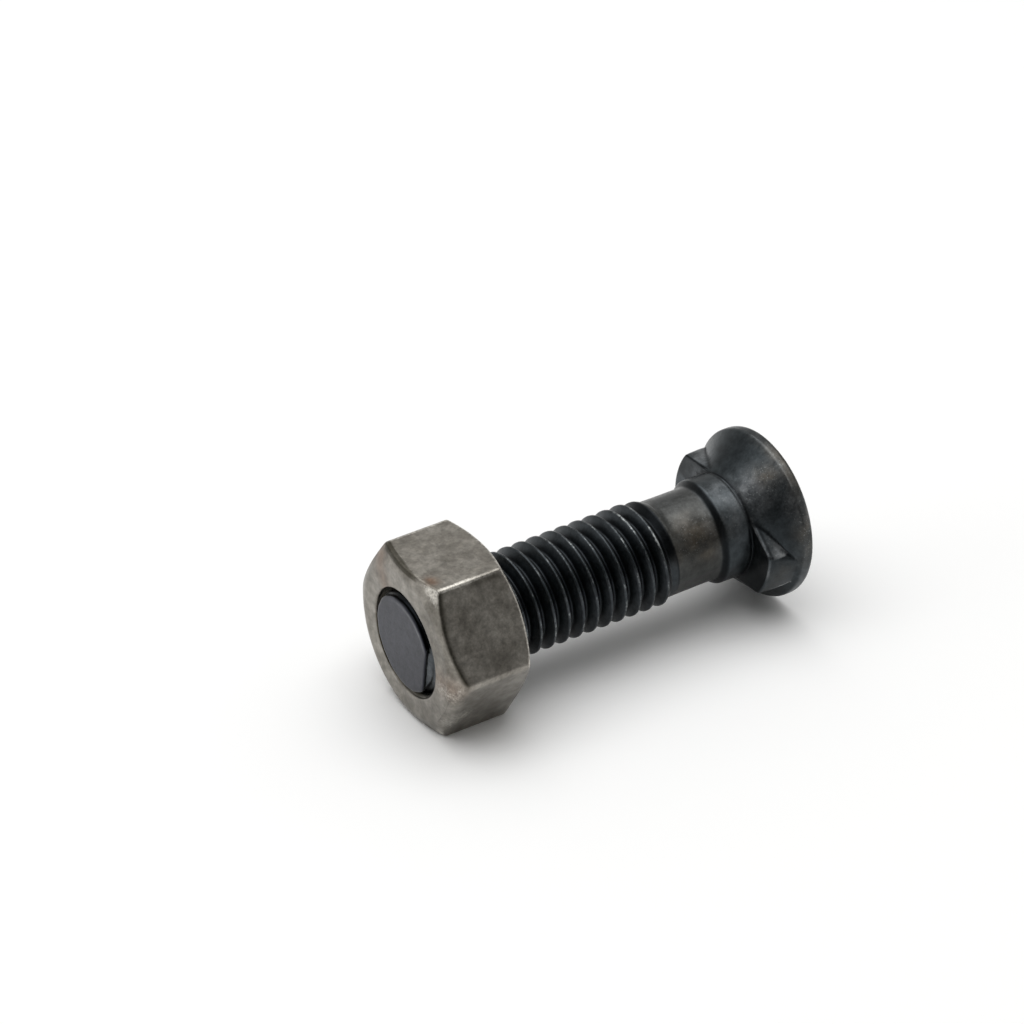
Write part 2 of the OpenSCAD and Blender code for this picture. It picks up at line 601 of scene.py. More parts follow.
    def mesh(self, material: bpy.types.Material) -> bpy.types.Mesh:
        """Makes the skin as a plain mesh.

        Args:
            material: the skin's material.

        Returns:
            A tube that is open at both ends, with its axis along z.
        """
        first = math.floor((self.foot - CREST_AT) / PITCH - 0.5)
        last = math.ceil((self.top - CREST_AT) / PITCH + 0.5)
        values = {
            "Pitch": PITCH, "Crest Height": CREST_AT,
            "Crest Radius": self.crest_r, "Root Radius": self.root_r,
            "Foot Height": self.foot, "Foot Radius": self.foot_r, "Foot Run": self.foot_run,
            "Top Height": self.top, "Top Radius": self.top_r, "Top Run": self.top_run,
            "Crest Fade Start": self.crest_fade[0], "Crest Fade End": self.crest_fade[1],
            "Root Fade Start": self.root_fade[0], "Root Fade End": self.root_fade[1],
            "Turns": float(last - first), "Middle Turn": (first + last) / 2,
            "Columns": (last - first) * COLUMNS + 1, "Profile Points": self.profile_points,
            "Material": material,
        }
        holder = bpy.data.objects.new("thread_skin", bpy.data.meshes.new("thread_skin"))
        bpy.context.scene.collection.objects.link(holder)
        modifier = holder.modifiers.new("thread", "NODES")
        modifier.node_group = self.tree()
        for item in modifier.node_group.interface.items_tree:
            if item.in_out == "INPUT":
                modifier[item.identifier] = values[item.name]
        graph = bpy.context.evaluated_depsgraph_get()
        mesh = bpy.data.meshes.new_from_object(holder.evaluated_get(graph))
        empty = holder.data
        bpy.data.objects.remove(holder)
        bpy.data.meshes.remove(empty)
        return mesh


@dataclass(frozen=True)
class FinishNodes:
    """The node tree of a finish, with the place, the marks and painted light, and the grain that it reads."""

    tree: bpy.types.NodeTree
    place: bpy.types.NodeSocket
    wear_and_light: dict[WearAndLight, bpy.types.NodeSocket]
    broad: bpy.types.NodeSocket
    blotch: bpy.types.NodeSocket
    fine: bpy.types.NodeSocket


@dataclass(frozen=True)
class ForgedSteel:
    """What both finishes share: uneven grain, rubbed edges with painted highlights, grime with painted shade
    and a metal's sheen.

    The ranges are where most values of a grain lie, and the grains are widths of a patch.
    """

    name: str
    brown: str
    # Rubbed steel with painted highlights, and grime with painted shade
    rubbed_and_highlight: str
    dirt_and_shade: str
    roughness: Pair
    bump: float
    broad_grain: float
    blotch_grain: float
    fine_grain: float
    fine_shade: Pair
    blotch_shade: Pair
    rub_and_highlight_from: Pair
    reads: tuple[WearAndLight, ...]
    bump_depth: float = 0.03
    broad_range: Pair = (0.35, 0.65)
    blotch_range: Pair = (0.3, 0.7)
    fine_range: Pair = (0.25, 0.75)
    rough_range: Pair = (0.3, 0.7)

    def colour(self, nodes: FinishNodes) -> bpy.types.NodeSocket:
        """Colours the surface before its edges are rubbed and its hollows fill with dirt."""
        raise NotImplementedError

    def grained(self, nodes: FinishNodes, colour: bpy.types.NodeSocket) -> bpy.types.NodeSocket:
        """Shades a colour with the fine grain and the blotches.

        Args:
            nodes: the finish's nodes.
            colour: the colour to shade.

        Returns:
            The shaded colour.
        """
        layers = (
            (nodes.fine, self.fine_range, self.fine_shade),
            (nodes.blotch, self.blotch_range, self.blotch_shade),
        )
        for grain, (low, high), (dark, light) in layers:
            shade = add_node(nodes.tree, "ShaderNodeMapRange", links={
                "Value": grain, "From Min": low, "From Max": high, "To Min": dark, "To Max": light,
            }).outputs[0]
            colour = add_node(nodes.tree, "ShaderNodeMix", {"data_type": "RGBA", "blend_type": "MULTIPLY"}, {
                0: 1.0, 6: colour, 7: shade,
            }).outputs[2]
        return colour

    def material(self) -> bpy.types.Material:
        """Builds the finish.

        Returns:
            The material, which reads the marks and the painted light stored on the points.
        """
        material = bpy.data.materials.new(self.name)
        material.use_nodes = True
        tree = material.node_tree
        tree.nodes.clear()
        wear_and_light = {
            kind: add_node(tree, "ShaderNodeAttribute", {"attribute_name": kind.value}).outputs["Fac"]
            for kind in self.reads
        }
        place = add_node(tree, "ShaderNodeTexCoord").outputs["Object"]
        # Width of a patch, layers of detail in it and how strong these are
        grains = ((self.broad_grain, 4.0, 0.6), (self.blotch_grain, 2.0, 0.5), (self.fine_grain, 3.0, 0.65))
        broad, blotch, fine = (
            add_node(tree, "ShaderNodeTexNoise", links={
                "Vector": place, "Scale": 1 / (width * MM), "Detail": detail, "Roughness": strength,
            }).outputs[0]
            for width, detail, strength in grains
        )
        colour = self.colour(FinishNodes(tree, place, wear_and_light, broad, blotch, fine))

        # Rubbed edges with painted highlights and glints, and grime with painted shade in the hollows and
        # along edges
        rub_and_highlight = add_node(tree, "ShaderNodeMath", {"operation": "MULTIPLY"}, {
            0: wear_and_light[WearAndLight.WEAR_AND_HIGHLIGHT], 1: fine,
        }).outputs[0]
        rub_and_highlight = add_node(tree, "ShaderNodeMapRange", {"interpolation_type": "SMOOTHSTEP"}, {
            "Value": rub_and_highlight, "From Min": self.rub_and_highlight_from[0], "From Max": self.rub_and_highlight_from[1],
        }).outputs[0]
        for share, tint in ((rub_and_highlight, self.rubbed_and_highlight), (wear_and_light[WearAndLight.SHADE_AND_DIRT], self.dirt_and_shade)):
            colour = add_node(tree, "ShaderNodeMix", {"data_type": "RGBA"}, {
                0: share, 6: colour, 7: linear(tint),
            }).outputs[2]

        rough = add_node(tree, "ShaderNodeMapRange", links={
            "Value": fine, "From Min": self.rough_range[0], "From Max": self.rough_range[1],
            "To Min": self.roughness[0], "To Max": self.roughness[1],
        }).outputs[0]
        bump = add_node(tree, "ShaderNodeBump", links={
            "Strength": self.bump, "Distance": self.bump_depth * MM, "Height": fine,
        }).outputs[0]
        shader = add_node(tree, "ShaderNodeBsdfPrincipled", links={
            "Base Color": colour, "Metallic": 1.0, "Roughness": rough, "Normal": bump,
        })
        add_node(tree, "ShaderNodeOutputMaterial", links={"Surface": shader.outputs[0]})
        return material


# Black oxide is a thin dark film on steel: the eye sees a metal's sheen, nearly black and half matt, which is
# pale where the film is rubbed and brown where scale from the forge is left on the shank; painted highlights
# and glints lighten it and painted shade darkens it
@dataclass(frozen=True)
class BlackOxide(ForgedSteel):
    """Black oxide on a forging."""

    name: str = "black oxide forged steel"
    end: str = "#37383f"
    thread: str = "#3a3e41"
    shank: str = "#494a49"
    head: str = "#3b4043"
    # Light scale, and painted highlights and glints
    pale_and_highlight: str = "#86898c"
    brown: str = "#675e51"
    # Rubbed oxide, and painted highlights and glints
    rubbed_and_highlight: str = "#b4b8b8"
    # Grime, and painted shade
    dirt_and_shade: str = "#0f1113"
    roughness: Pair = (0.28, 0.44)
    bump: float = 0.2
    broad_grain: float = 1.7
    blotch_grain: float = 0.7
    fine_grain: float = 0.22
    # Painted glints, drawn as light specks
    glint_grain: float = 0.16
    fine_shade: Pair = (0.82, 1.18)
    blotch_shade: Pair = (1.22, 0.78)
    rub_and_highlight_from: Pair = (0.25, 0.75)
    glint_from: Pair = (0.6, 0.75)
    glint_amount: float = 0.45
    patch_amount: Pair = (0.45, 1.35)
    # Stations along the bolt over which each zone's colour takes over from the one before
    thread_from: Pair = (0.05, 0.12)
    shank_from: Pair = (26.4, 26.55)
    head_from: Pair = (30.8, 31.6)
    reads: tuple[WearAndLight, ...] = tuple(WearAndLight)

    def colour(self, nodes: FinishNodes) -> bpy.types.NodeSocket:
        """Colours the end, the thread, the shank and the head, with patches of scale, painted highlights and
        painted glints.

        Args:
            nodes: the finish's nodes.

        Returns:
            The colour.
        """
        tree, wear_and_light = nodes.tree, nodes.wear_and_light
        colour = linear(self.end)
        zones = {self.thread: self.thread_from, self.shank: self.shank_from, self.head: self.head_from}
        reached = {}
        for tint, (start, full) in zones.items():
            reached[tint] = add_node(tree, "ShaderNodeMapRange", {"interpolation_type": "SMOOTHSTEP"}, {
                "Value": wear_and_light[WearAndLight.STATION], "From Min": start, "From Max": full,
            }).outputs[0]
            colour = add_node(tree, "ShaderNodeMix", {"data_type": "RGBA"}, {
                0: reached[tint], 6: colour, 7: linear(tint),
            }).outputs[2]

        # Patches of scale and painted highlights, broken up by the broad grain
        mottle = add_node(tree, "ShaderNodeMapRange", {"interpolation_type": "SMOOTHSTEP"}, {
            "Value": nodes.broad, "From Min": self.broad_range[0], "From Max": self.broad_range[1],
            "To Min": self.patch_amount[0], "To Max": self.patch_amount[1],
        }).outputs[0]
        for kind, tint in ((WearAndLight.PALE_AND_HIGHLIGHT, self.pale_and_highlight), (WearAndLight.BROWN, self.brown)):
            share = add_node(tree, "ShaderNodeMath", {"operation": "MULTIPLY", "use_clamp": True}, {
                0: wear_and_light[kind], 1: mottle,
            }).outputs[0]
            colour = add_node(tree, "ShaderNodeMix", {"data_type": "RGBA"}, {
                0: share, 6: colour, 7: linear(tint),
            }).outputs[2]
        colour = self.grained(nodes, colour)

        # Painted glints: light specks in the patches of scale from the shank on, drawn coarse enough to show
        painted_glint = add_node(tree, "ShaderNodeTexNoise", links={
            "Vector": nodes.place, "Scale": 1 / (self.glint_grain * MM), "Detail": 1.0, "Roughness": 0.5,
        }).outputs[0]
        painted_glint = add_node(tree, "ShaderNodeMapRange", {"interpolation_type": "SMOOTHSTEP"}, {
            "Value": painted_glint, "From Min": self.glint_from[0], "From Max": self.glint_from[1],
            "To Min": 0.0, "To Max": self.glint_amount,
        }).outputs[0]
        # Where the light and brown scale and the painted highlights lie
        scale = add_node(tree, "ShaderNodeMath", {"operation": "ADD", "use_clamp": True}, {
            0: wear_and_light[WearAndLight.PALE_AND_HIGHLIGHT], 1: wear_and_light[WearAndLight.BROWN],
        }).outputs[0]
        for share in (scale, reached[self.shank]):
            painted_glint = add_node(tree, "ShaderNodeMath", {"operation": "MULTIPLY"}, {
                0: painted_glint, 1: share,
            }).outputs[0]
        return add_node(tree, "ShaderNodeMix", {"data_type": "RGBA"}, {
            0: painted_glint, 6: colour, 7: linear(self.rubbed_and_highlight),
        }).outputs[2]


# Bare steel from the forge: the eye sees a warm grey satin metal, mottled where the skin is duller, with
# bright rubbed edges and brown stains; painted highlights and reflections lighten it and painted shade and
# shadow darken it
@dataclass(frozen=True)
class BareSteel(ForgedSteel):
    """Bare steel, forged and tumbled."""

    name: str = "bare forged steel"
    plain: str = "#8f8b84"
    dull: str = "#78746d"
    brown: str = "#7b6352"
    # Rubbed steel, and painted highlights and reflections
    rubbed_and_highlight: str = "#d4d0c8"
    # Dull patches, and painted shade and shadow
    dirt_and_shade: str = "#2b271a"
    roughness: Pair = (0.31, 0.44)
    bump: float = 0.3
    broad_grain: float = 2.2
    blotch_grain: float = 0.8
    fine_grain: float = 0.25
    fine_shade: Pair = (0.78, 1.22)
    blotch_shade: Pair = (1.2, 0.8)
    rub_and_highlight_from: Pair = (0.15, 0.65)
    reads: tuple[WearAndLight, ...] = (WearAndLight.WEAR_AND_HIGHLIGHT, WearAndLight.SHADE_AND_DIRT, WearAndLight.BROWN)

    def colour(self, nodes: FinishNodes) -> bpy.types.NodeSocket:
        """Colours plain and dull skin, with brown stains.

        Args:
            nodes: the finish's nodes.

        Returns:
            The colour.
        """
        patch = add_node(nodes.tree, "ShaderNodeMapRange", {"interpolation_type": "SMOOTHSTEP"}, {
            "Value": nodes.broad, "From Min": self.broad_range[0], "From Max": self.broad_range[1],
        }).outputs[0]
        colour = linear(self.plain)
        for share, tint in ((patch, self.dull), (nodes.wear_and_light[WearAndLight.BROWN], self.brown)):
            colour = add_node(nodes.tree, "ShaderNodeMix", {"data_type": "RGBA"}, {
                0: share, 6: colour, 7: linear(tint),
            }).outputs[2]
        return self.grained(nodes, colour)


@dataclass(frozen=True)
class EndWearAndShade:
    """The thread darker just above the bolt's flat end, a painted shade line at the foot of its notch, paler
    steel in the notch and a light arc on the end.
    """

    skin_depth: float = 0.01
    # The thread darker just above the end's edge
    dirt_and_shade: Ramp = Ramp(0.0, 0.08, 0.85)
    dirt_and_shade_stop: Ramp = Ramp(1.4, 0.8)
    # A painted shade line at the foot of the notch
    notch_lip: Stripe = Stripe(0.1, 0.07, 0.85)
    notch_pale: float = 0.22
    arc: Stripe = Stripe(4.16, 0.1, 0.5)
    arc_turn: Stripe = Stripe(-150.0, 40.0)

    def dress(self, bolt: PlowBolt, skin: Skin) -> None:
        """Lays these marks and this painted shade on the bolt.

        Args:
            bolt: the bolt's sizes.
            skin: its points and what is laid on them.
        """
        notch = bolt.in_notch(skin)
        dirt_and_shade = self.dirt_and_shade.at(skin.height) * self.dirt_and_shade_stop.at(skin.height)
        skin.add(WearAndLight.SHADE_AND_DIRT, np.where(notch, self.notch_lip.at(skin.height), dirt_and_shade))
        end_top = bolt.end_edge + self.skin_depth
        skin.add(WearAndLight.PALE_AND_HIGHLIGHT, self.notch_pale * (notch & (skin.height > end_top)))
        arc = self.arc.at(skin.radius) * self.arc_turn.at(skin.degrees(SEAM))
        skin.add(WearAndLight.PALE_AND_HIGHLIGHT, arc * (skin.height < end_top))


@dataclass(frozen=True)
class ThreadWearAndLight:
    """Rubbed crests with painted glints, roots drawn darker, and what shows where the thread runs out.

    There the black ends at a slant with a painted shade line, and a painted dark band and painted glints
    follow the last turns.
    """

    stops: Ramp = Ramp(-0.2, -0.5)
    # Rubbed crests, brightened further as painted glints
    crest_rub_and_glint: Ramp = Ramp(4.88, 5.0)
    crest_mottle: Mottle = Mottle(0.58, 0.35, 1.1, 5.0)
    # The roots drawn darker towards the core
    root_darkening: Ramp = Ramp(4.7, 4.15, 0.62)
    root_darkening_from: Ramp = Ramp(0.1, 0.5)
    black_end: float = 26.28
    black_sway: float = 0.27
    black_turn: float = -65.0
    black_station: float = 26.475
    black_rise: Ramp = Ramp(24.0, 25.5)
    black_fall: Ramp = Ramp(29.0, 27.5)
    # A painted shade line where the black ends
    line: Stripe = Stripe(-0.04, 0.11, 0.75)
    line_turn: float = -155.0
    line_side: Ramp = Ramp(-0.2, 0.3)
    last_turn: int = 16
    # A painted dark band in the groove beside the last crest
    band: Ramp = Ramp(0.25, 0.42, 0.85)
    band_foot: float = 24.0
    band_stop: Ramp = Ramp(0.08, -0.1)
    band_side: Ramp = Ramp(-98.0, -122.0)
    # Painted glints along the last two crests
    glint: Stripe = Stripe(0.0, 0.3)
    glint_crest: Ramp = Ramp(4.8, 4.98)
    glint_dots: Mottle = Mottle(1.05, 0.9, 0.45, 9.0)
    glint_turns: tuple[Stripe, ...] = (Stripe(-140.0, 24.0), Stripe(-170.0, 24.0))

    def dress(self, bolt: PlowBolt, skin: Skin) -> None:
        """Lays these marks, painted shade and painted glints on the bolt.

        Args:
            bolt: the bolt's sizes.
            skin: its points and what is laid on them.
        """
        degrees = skin.degrees(SEAM)
        on_thread = self.stops.at(skin.height - bolt.thread_top)
        skin.add(WearAndLight.WEAR_AND_HIGHLIGHT, on_thread * self.crest_rub_and_glint.at(skin.radius) * self.crest_mottle.at(skin.points))
        dirt_and_shade = on_thread * self.root_darkening.at(skin.radius) * self.root_darkening_from.at(skin.height)
        skin.add(WearAndLight.SHADE_AND_DIRT, dirt_and_shade * ~bolt.in_notch(skin))

        # The slanting end of the black, which the finish reads from the shifted station
        black_end = self.black_end + self.black_sway * skin.facing(self.black_turn)
        near_end = self.black_rise.at(skin.height) * self.black_fall.at(skin.height)
        skin.add(WearAndLight.STATION, skin.height + near_end * (self.black_station - black_end))
        # A painted shade line along the end of the black
        line = self.line.at(skin.height - black_end) * (skin.radius < bolt.collar_r)
        skin.add(WearAndLight.SHADE_AND_DIRT, line * self.line_side.at(skin.facing(self.line_turn)))

        # The painted dark band and the painted glints beside the last crest
        ridge = CREST_AT + PITCH * (self.last_turn + degrees / 360.0)
        band = self.band.at(skin.height - ridge) * self.band_stop.at(skin.height - black_end)
        skin.add(WearAndLight.SHADE_AND_DIRT, band * (skin.height > self.band_foot) * self.band_side.at(degrees))
        dots = self.glint_crest.at(skin.radius) * self.glint_dots.at(skin.points)
        for turns_before, along in enumerate(self.glint_turns):
            across = self.glint.at(skin.height - ridge + turns_before * PITCH)
            skin.add(WearAndLight.WEAR_AND_HIGHLIGHT, dots * along.at(degrees) * across)


@dataclass(frozen=True)
class HeadShadeAndHighlight:
    """Painted shade at the collar's foot and under the cone, heavier on one side, and painted highlights on
    the rim.
    """

    # Painted shade round the collar's foot
    collar_shade: Stripe = Stripe(0.22, 0.3, 0.85, 4)
    collar_reach: float = 0.1
    # Painted shade in the crease under the cone, heavier on the side turned towards near_turn
    cone_shade: Stripe = Stripe(0.05, 0.28)
    cone_reach: float = 0.3
    cone_shade_least: float = 0.35
    near_turn: float = -100.0
    near_side: Ramp = Ramp(-0.2, 0.9, 0.5)
    # A painted highlight band on the rim and a painted light line along its edge
    rim_highlight: Ramp = Ramp(-0.05, 0.05, 0.1)
    rim_depth: float = 0.3
    rim_highlight_line: Stripe = Stripe(0.0, 0.16, 0.18)

    def dress(self, bolt: PlowBolt, skin: Skin) -> None:
        """Lays this painted shade and these painted highlights on the bolt.

        Args:
            bolt: the bolt's sizes.
            skin: its points and what is laid on them.
        """
        at_collar = skin.radius < bolt.collar_r + self.collar_reach
        skin.add(WearAndLight.SHADE_AND_DIRT, self.collar_shade.at(skin.height - bolt.collar_foot) * at_collar)
        at_cone = skin.radius < bolt.collar_r + self.cone_reach
        amount = self.cone_shade_least + self.near_side.at(skin.facing(self.near_turn))
        skin.add(WearAndLight.SHADE_AND_DIRT, self.cone_shade.at(skin.height - bolt.cone_foot) * at_cone * amount)
        above_rim = skin.height - bolt.rim_foot
        on_rim = skin.radius > bolt.head_r - self.rim_depth
        skin.add(WearAndLight.PALE_AND_HIGHLIGHT, self.rim_highlight.at(above_rim) * on_rim)
        skin.add(WearAndLight.PALE_AND_HIGHLIGHT, self.rim_highlight_line.at(np.hypot(above_rim, skin.radius - bolt.head_r)))


@dataclass(frozen=True)
class NibShadeAndHighlight:
    """Painted shade on the nibs' fronts, edges and creases, and painted highlights on the lower nib's edges,
    wall and far edge.
    """

    skin_depth: float = 0.02
    # Painted shade on the fronts, which face the thread
    front_shade: float = 0.7
    far_front_shade: float = 0.85
    far_front_reach: float = 0.25
    # A painted shade line inside the upper nib's front edge, and painted highlights along the lower nib's
    edge: Stripe = Stripe(0.08, 0.16)
    edge_shade: float = 0.9
    edge_shade_from: float = 0.3
    edge_highlight: float = 0.6
    edge_highlight_from: float = 0.05
    edge_by_wall: Ramp = Ramp(0.1, 0.7)
    edge_middle: Stripe = Stripe(-0.14, 0.1)
    # Painted shade in the crease round each nib, at the lower nib's corner and on its tip
    crease: Stripe = Stripe(0.0, 0.16, 0.75)
    crease_from: float = 0.2
    crease_fade: Ramp = Ramp(36.2, 37.0, 0.6)
    nib_from: float = 0.25
    corner_shade: Stripe = Stripe(0.1, 0.2, 0.6)
    tip_shade: float = 0.4
    tip_shade_less: Ramp = Ramp(-0.3, 0.2, 0.3)
    # A painted shade line across the lower nib's wall
    wall_line: Stripe = Stripe(0.42, 0.17, 0.7)
    wall_line_from: float = 0.05
    wall_from: Ramp = Ramp(0.0, 0.3)
    # A painted highlight on the lower nib's wall, in the pale and rubbed colours
    wall_highlight_rub: float = 0.52
    wall_highlight_spots: tuple[Spot, ...] = (Spot(-88.0, 35.75, 0.9, 1.0, 2.0), Spot(-97.0, 35.2, 0.8, 1.2, 0.4))
    # A painted highlight streak along the lower nib's far edge
    far_edge: Stripe = Stripe(-0.12, 0.22)
    far_edge_from: Ramp = Ramp(34.9, 35.8)
    far_edge_highlight: float = 0.55
    far_edge_highlight_rub: Ramp = Ramp(35.9, 36.5, 2.0)

    def dress(self, bolt: PlowBolt, skin: Skin) -> None:
        """Lays this painted shade and these painted highlights on the bolt.

        Args:
            bolt: the bolt's sizes.
            skin: its points and what is laid on them.
        """
        height, radius = skin.height, skin.radius
        above = height - bolt.cone_foot
        behind = above - bolt.nib_draft
        away = turn_from(math.radians(bolt.nib_turn), skin.turn, math.pi)
        lower = skin.facing(bolt.nib_turn) > 0.0
        tip = np.abs(away) < math.atan2(bolt.nib_tip, bolt.nib_r)
        near_wall = lower & (away < 0.0) & ~tip
        cone = bolt.collar_r + above * (bolt.head_r - bolt.collar_r) / (bolt.rim_foot - bolt.cone_foot)
        reach = bolt.nib_reach(skin.turn, height)
        on_nib = lower & (behind > self.nib_from) & (reach > cone)
        half = np.arctan2(bolt.nib_tip - bolt.nib_taper * above ** 2, bolt.nib_r)
        corner = (away + half) * radius
        far_corner = (away - half) * radius

        # The front, which faces the thread, painted darker, and its edge with painted shade and painted
        # highlights
        on_front = (above > -self.skin_depth) & (behind < self.skin_depth)
        on_front &= radius > bolt.collar_r - self.skin_depth
        far_front = self.far_front_shade * (radius < bolt.collar_r + self.far_front_reach)
        skin.add(WearAndLight.SHADE_AND_DIRT, on_front * np.where(lower, self.front_shade, far_front))
        edge = self.edge.at(behind)
        darken = (radius > bolt.collar_r + self.edge_shade_from) & ~lower & (away > 0.0)
        skin.add(WearAndLight.SHADE_AND_DIRT, self.edge_shade * edge * darken)
        highlight_edge = self.edge_highlight * edge * (radius > bolt.collar_r + self.edge_highlight_from)
        skin.add(WearAndLight.PALE_AND_HIGHLIGHT, highlight_edge * near_wall * self.edge_by_wall.at(-corner))
        skin.add(WearAndLight.PALE_AND_HIGHLIGHT, highlight_edge * (tip & lower) * self.edge_middle.at(away))

        # Painted shade in the crease round each nib and on the lower nib's corner, wall and tip, and painted
        # highlights on its wall and far edge
        beside = (behind > self.crease_from) & (height < bolt.rim_foot) & ~tip
        skin.add(WearAndLight.SHADE_AND_DIRT, self.crease.at(reach - cone) * beside * (1.0 - self.crease_fade.at(height)))
        skin.add(WearAndLight.SHADE_AND_DIRT, self.corner_shade.at(corner) * on_nib)
        on_line = near_wall & (radius > cone + self.wall_line_from)
        skin.add(WearAndLight.SHADE_AND_DIRT, self.wall_line.at(behind) * on_line)
        skin.add(WearAndLight.SHADE_AND_DIRT, (self.tip_shade - self.tip_shade_less.at(away)) * (tip & on_nib))
        wall = (on_nib & near_wall) * self.wall_from.at(-corner) * skin.cover(self.wall_highlight_spots)
        skin.add(WearAndLight.PALE_AND_HIGHLIGHT, wall)
        skin.add(WearAndLight.WEAR_AND_HIGHLIGHT, self.wall_highlight_rub * wall)
        far_edge = self.far_edge.at(far_corner) * on_nib * self.far_edge_from.at(height)
        skin.add(WearAndLight.PALE_AND_HIGHLIGHT, self.far_edge_highlight * far_edge)
        skin.add(WearAndLight.WEAR_AND_HIGHLIGHT, far_edge * self.far_edge_highlight_rub.at(height))


@dataclass(frozen=True)
class PlowBolt:
    """The forging: end, thread, shank, collar, nibs, countersunk head and rim in one skin.

    Turns are in degrees. The groove's points lie along and out from the cone's foot, and the end's rounding
    has insets and heights. The lean has a height, a shift and a slope in each row.
    """

    length: float = 38.754
    crest_r: float = 5.0
    root_r: float = 4.08
    thread_start: float = 0.8
    thread_top: float = 26.7
    thread_stop: float = 0.1
    crest_fade: Pair = (25.75, 26.45)
    root_fade: Pair = (25.4, 25.92)
    shank_r: float = 4.55
    collar_foot: float = 31.2
    collar_r: float = 5.05
    cone_foot: float = 34.2
    groove: tuple[Pair, ...] = ((-0.3, 0.0), (-0.1, -0.06), (0.05, 0.0))
    rim_foot: float = 37.954
    head_r: float = 8.2
    rim_round: float = 0.35
    outline_rounds: tuple[float, ...] = (0.15, 0.15, 0.1, 0.08, 0.1, 0.12)
    lean_turn: float = -128.6
    lean: tuple[tuple[float, float, float], ...] = (
        (33.0, 0.0, 0.0), (34.2, -0.3, 0.074), (37.954, -0.63, 0.083), (38.754, -0.35, 0.063),
    )

    nib_r: float = 7.4
    nib_tip: float = 2.3
    nib_root: float = 4.95
    nib_turn: float = -72.0
    nib_draft: float = 0.08
    nib_flare: float = 0.12
    nib_edge: float = 0.2
    nib_taper: float = 0.06
    nib_swell: float = 0.8
    nib_rise: float = 2.6
    nib_corner: float = 0.3
    nib_fillet: float = 0.08
    nib_foot_r: float = 4.6

    end_r: float = 4.65
    end_edge: float = 0.12
    end_round: tuple[Pair, ...] = ((0.03, 0.05), (0.1, 0.012), (0.23, 0.0))
    end_lump: float = 0.06
    end_lumps: Mottle = Mottle(0.6, 1.0, 0.9, 3.0)
    notch_turn: float = -78.6
    notch_half: float = 34.0
    notch_depth: float = 3.9
    notch_top: float = 1.0
    notch_opens: Ramp = Ramp(0.35, 0.9, 6.0)
    notch_limit: float = 0.2
    lump: float = 0.025
    lumps: Mottle = Mottle(1.0, 1.0, 2.6)
    lumps_from: Ramp = Ramp(0.0, 1.0)

    # How the rings and columns of the mesh are spread
    end_rings: tuple[float, ...] = (0.93, 0.91, 0.89, 0.86, 0.8, 0.55, 0.28)
    face_rings: tuple[float, ...] = (0.95, 0.8, 0.55, 0.28)
    shank_rings: tuple[int, ...] = (10, 16, 8, 12, 7)
    nib_edge_rings: int = 8
    cone_rings: int = 32
    rim_rings: int = 10
    rim_round_rings: int = 7
    collar_span: Pair = (-0.25, 0.8)
    groove_span: float = 0.42
    rim_span: float = 0.3
    crowd_end: float = 0.5
    crowd_spread: float = 4.0
    crowd: float = 3.0

    # Rubbing, scale, grime, painted shade and painted highlights, by part of the bolt and in patches
    wear_and_light: tuple[EndWearAndShade | ThreadWearAndLight | HeadShadeAndHighlight | NibShadeAndHighlight, ...] = (
        EndWearAndShade(), ThreadWearAndLight(), HeadShadeAndHighlight(), NibShadeAndHighlight(),
    )
    # Light scale, and painted highlights and glints on the shank, the collar, the cone and the rim
    highlight_and_pale_spots: tuple[Spot, ...] = (
        Spot(175.0, 29.0, 2.6, 1.4, 0.12), Spot(-137.0, 28.4, 1.2, 1.0, 0.35),
        Spot(-132.0, 30.2, 0.8, 1.0, 0.4), Spot(-150.0, 30.75, 0.8, 0.45, 0.35),
        Spot(-165.0, 33.1, 2.0, 0.7, 0.3), Spot(-130.0, 33.0, 1.6, 0.7, 0.3),
        Spot(-146.0, 35.3, 1.7, 0.9, 0.85), Spot(-150.0, 36.8, 1.5, 0.8, 0.45),
        Spot(-128.0, 37.5, 1.3, 0.5, 0.4), Spot(135.0, 35.2, 1.4, 1.0, 0.6),
        Spot(110.0, 34.25, 2.5, 0.1, 0.12), Spot(-116.0, 38.2, 1.8, 0.4, 0.55),
    )
    brown_spots: tuple[Spot, ...] = (
        Spot(-126.0, 28.8, 1.9, 1.1, 0.6), Spot(-110.0, 29.5, 1.4, 1.0, 0.4),
        Spot(-150.0, 36.8, 1.3, 0.7, 0.5), Spot(-105.0, 38.2, 3.0, 0.3, 0.4),
        Spot(-74.0, 35.9, 1.6, 0.8, 0.14), Spot(-150.0, 38.4, 4.0, 0.2, 0.35),
    )
    # Painted shade on the shank, the cone and the rim, and dark spots of scale on the shank
    shade_and_dark_spots: tuple[Spot, ...] = (
        Spot(-125.0, 36.0, 1.8, 0.8, 0.35), Spot(-104.0, 36.9, 1.6, 0.8, 0.55),
        Spot(170.0, 36.6, 2.4, 0.9, 0.35), Spot(-98.0, 28.7, 2.4, 1.2, 0.46),
        Spot(-80.0, 35.2, 0.9, 0.8, 0.3), Spot(-111.0, 29.5, 0.7, 0.6, 0.45),
        Spot(-144.0, 29.55, 0.7, 0.6, 0.45), Spot(-84.0, 38.2, 1.6, 0.5, 0.22),
    )

    def end_outline(self, turn: np.ndarray) -> np.ndarray:
        """Radius of the flat end, which is cut straight where the thread starts.

        Args:
            turn: angles round the bolt, in radians.

        Returns:
            The outline's radius at each angle.
        """
        away = turn_from(math.radians(self.notch_turn), turn)
        chord = self.notch_depth / np.maximum(np.cos(away), self.notch_limit)
        uneven = np.maximum(self.end_lumps.at(ring_points(self.end_r, turn, 0.0)), 0.0)
        return np.minimum(self.end_r, chord) - self.end_lump * uneven

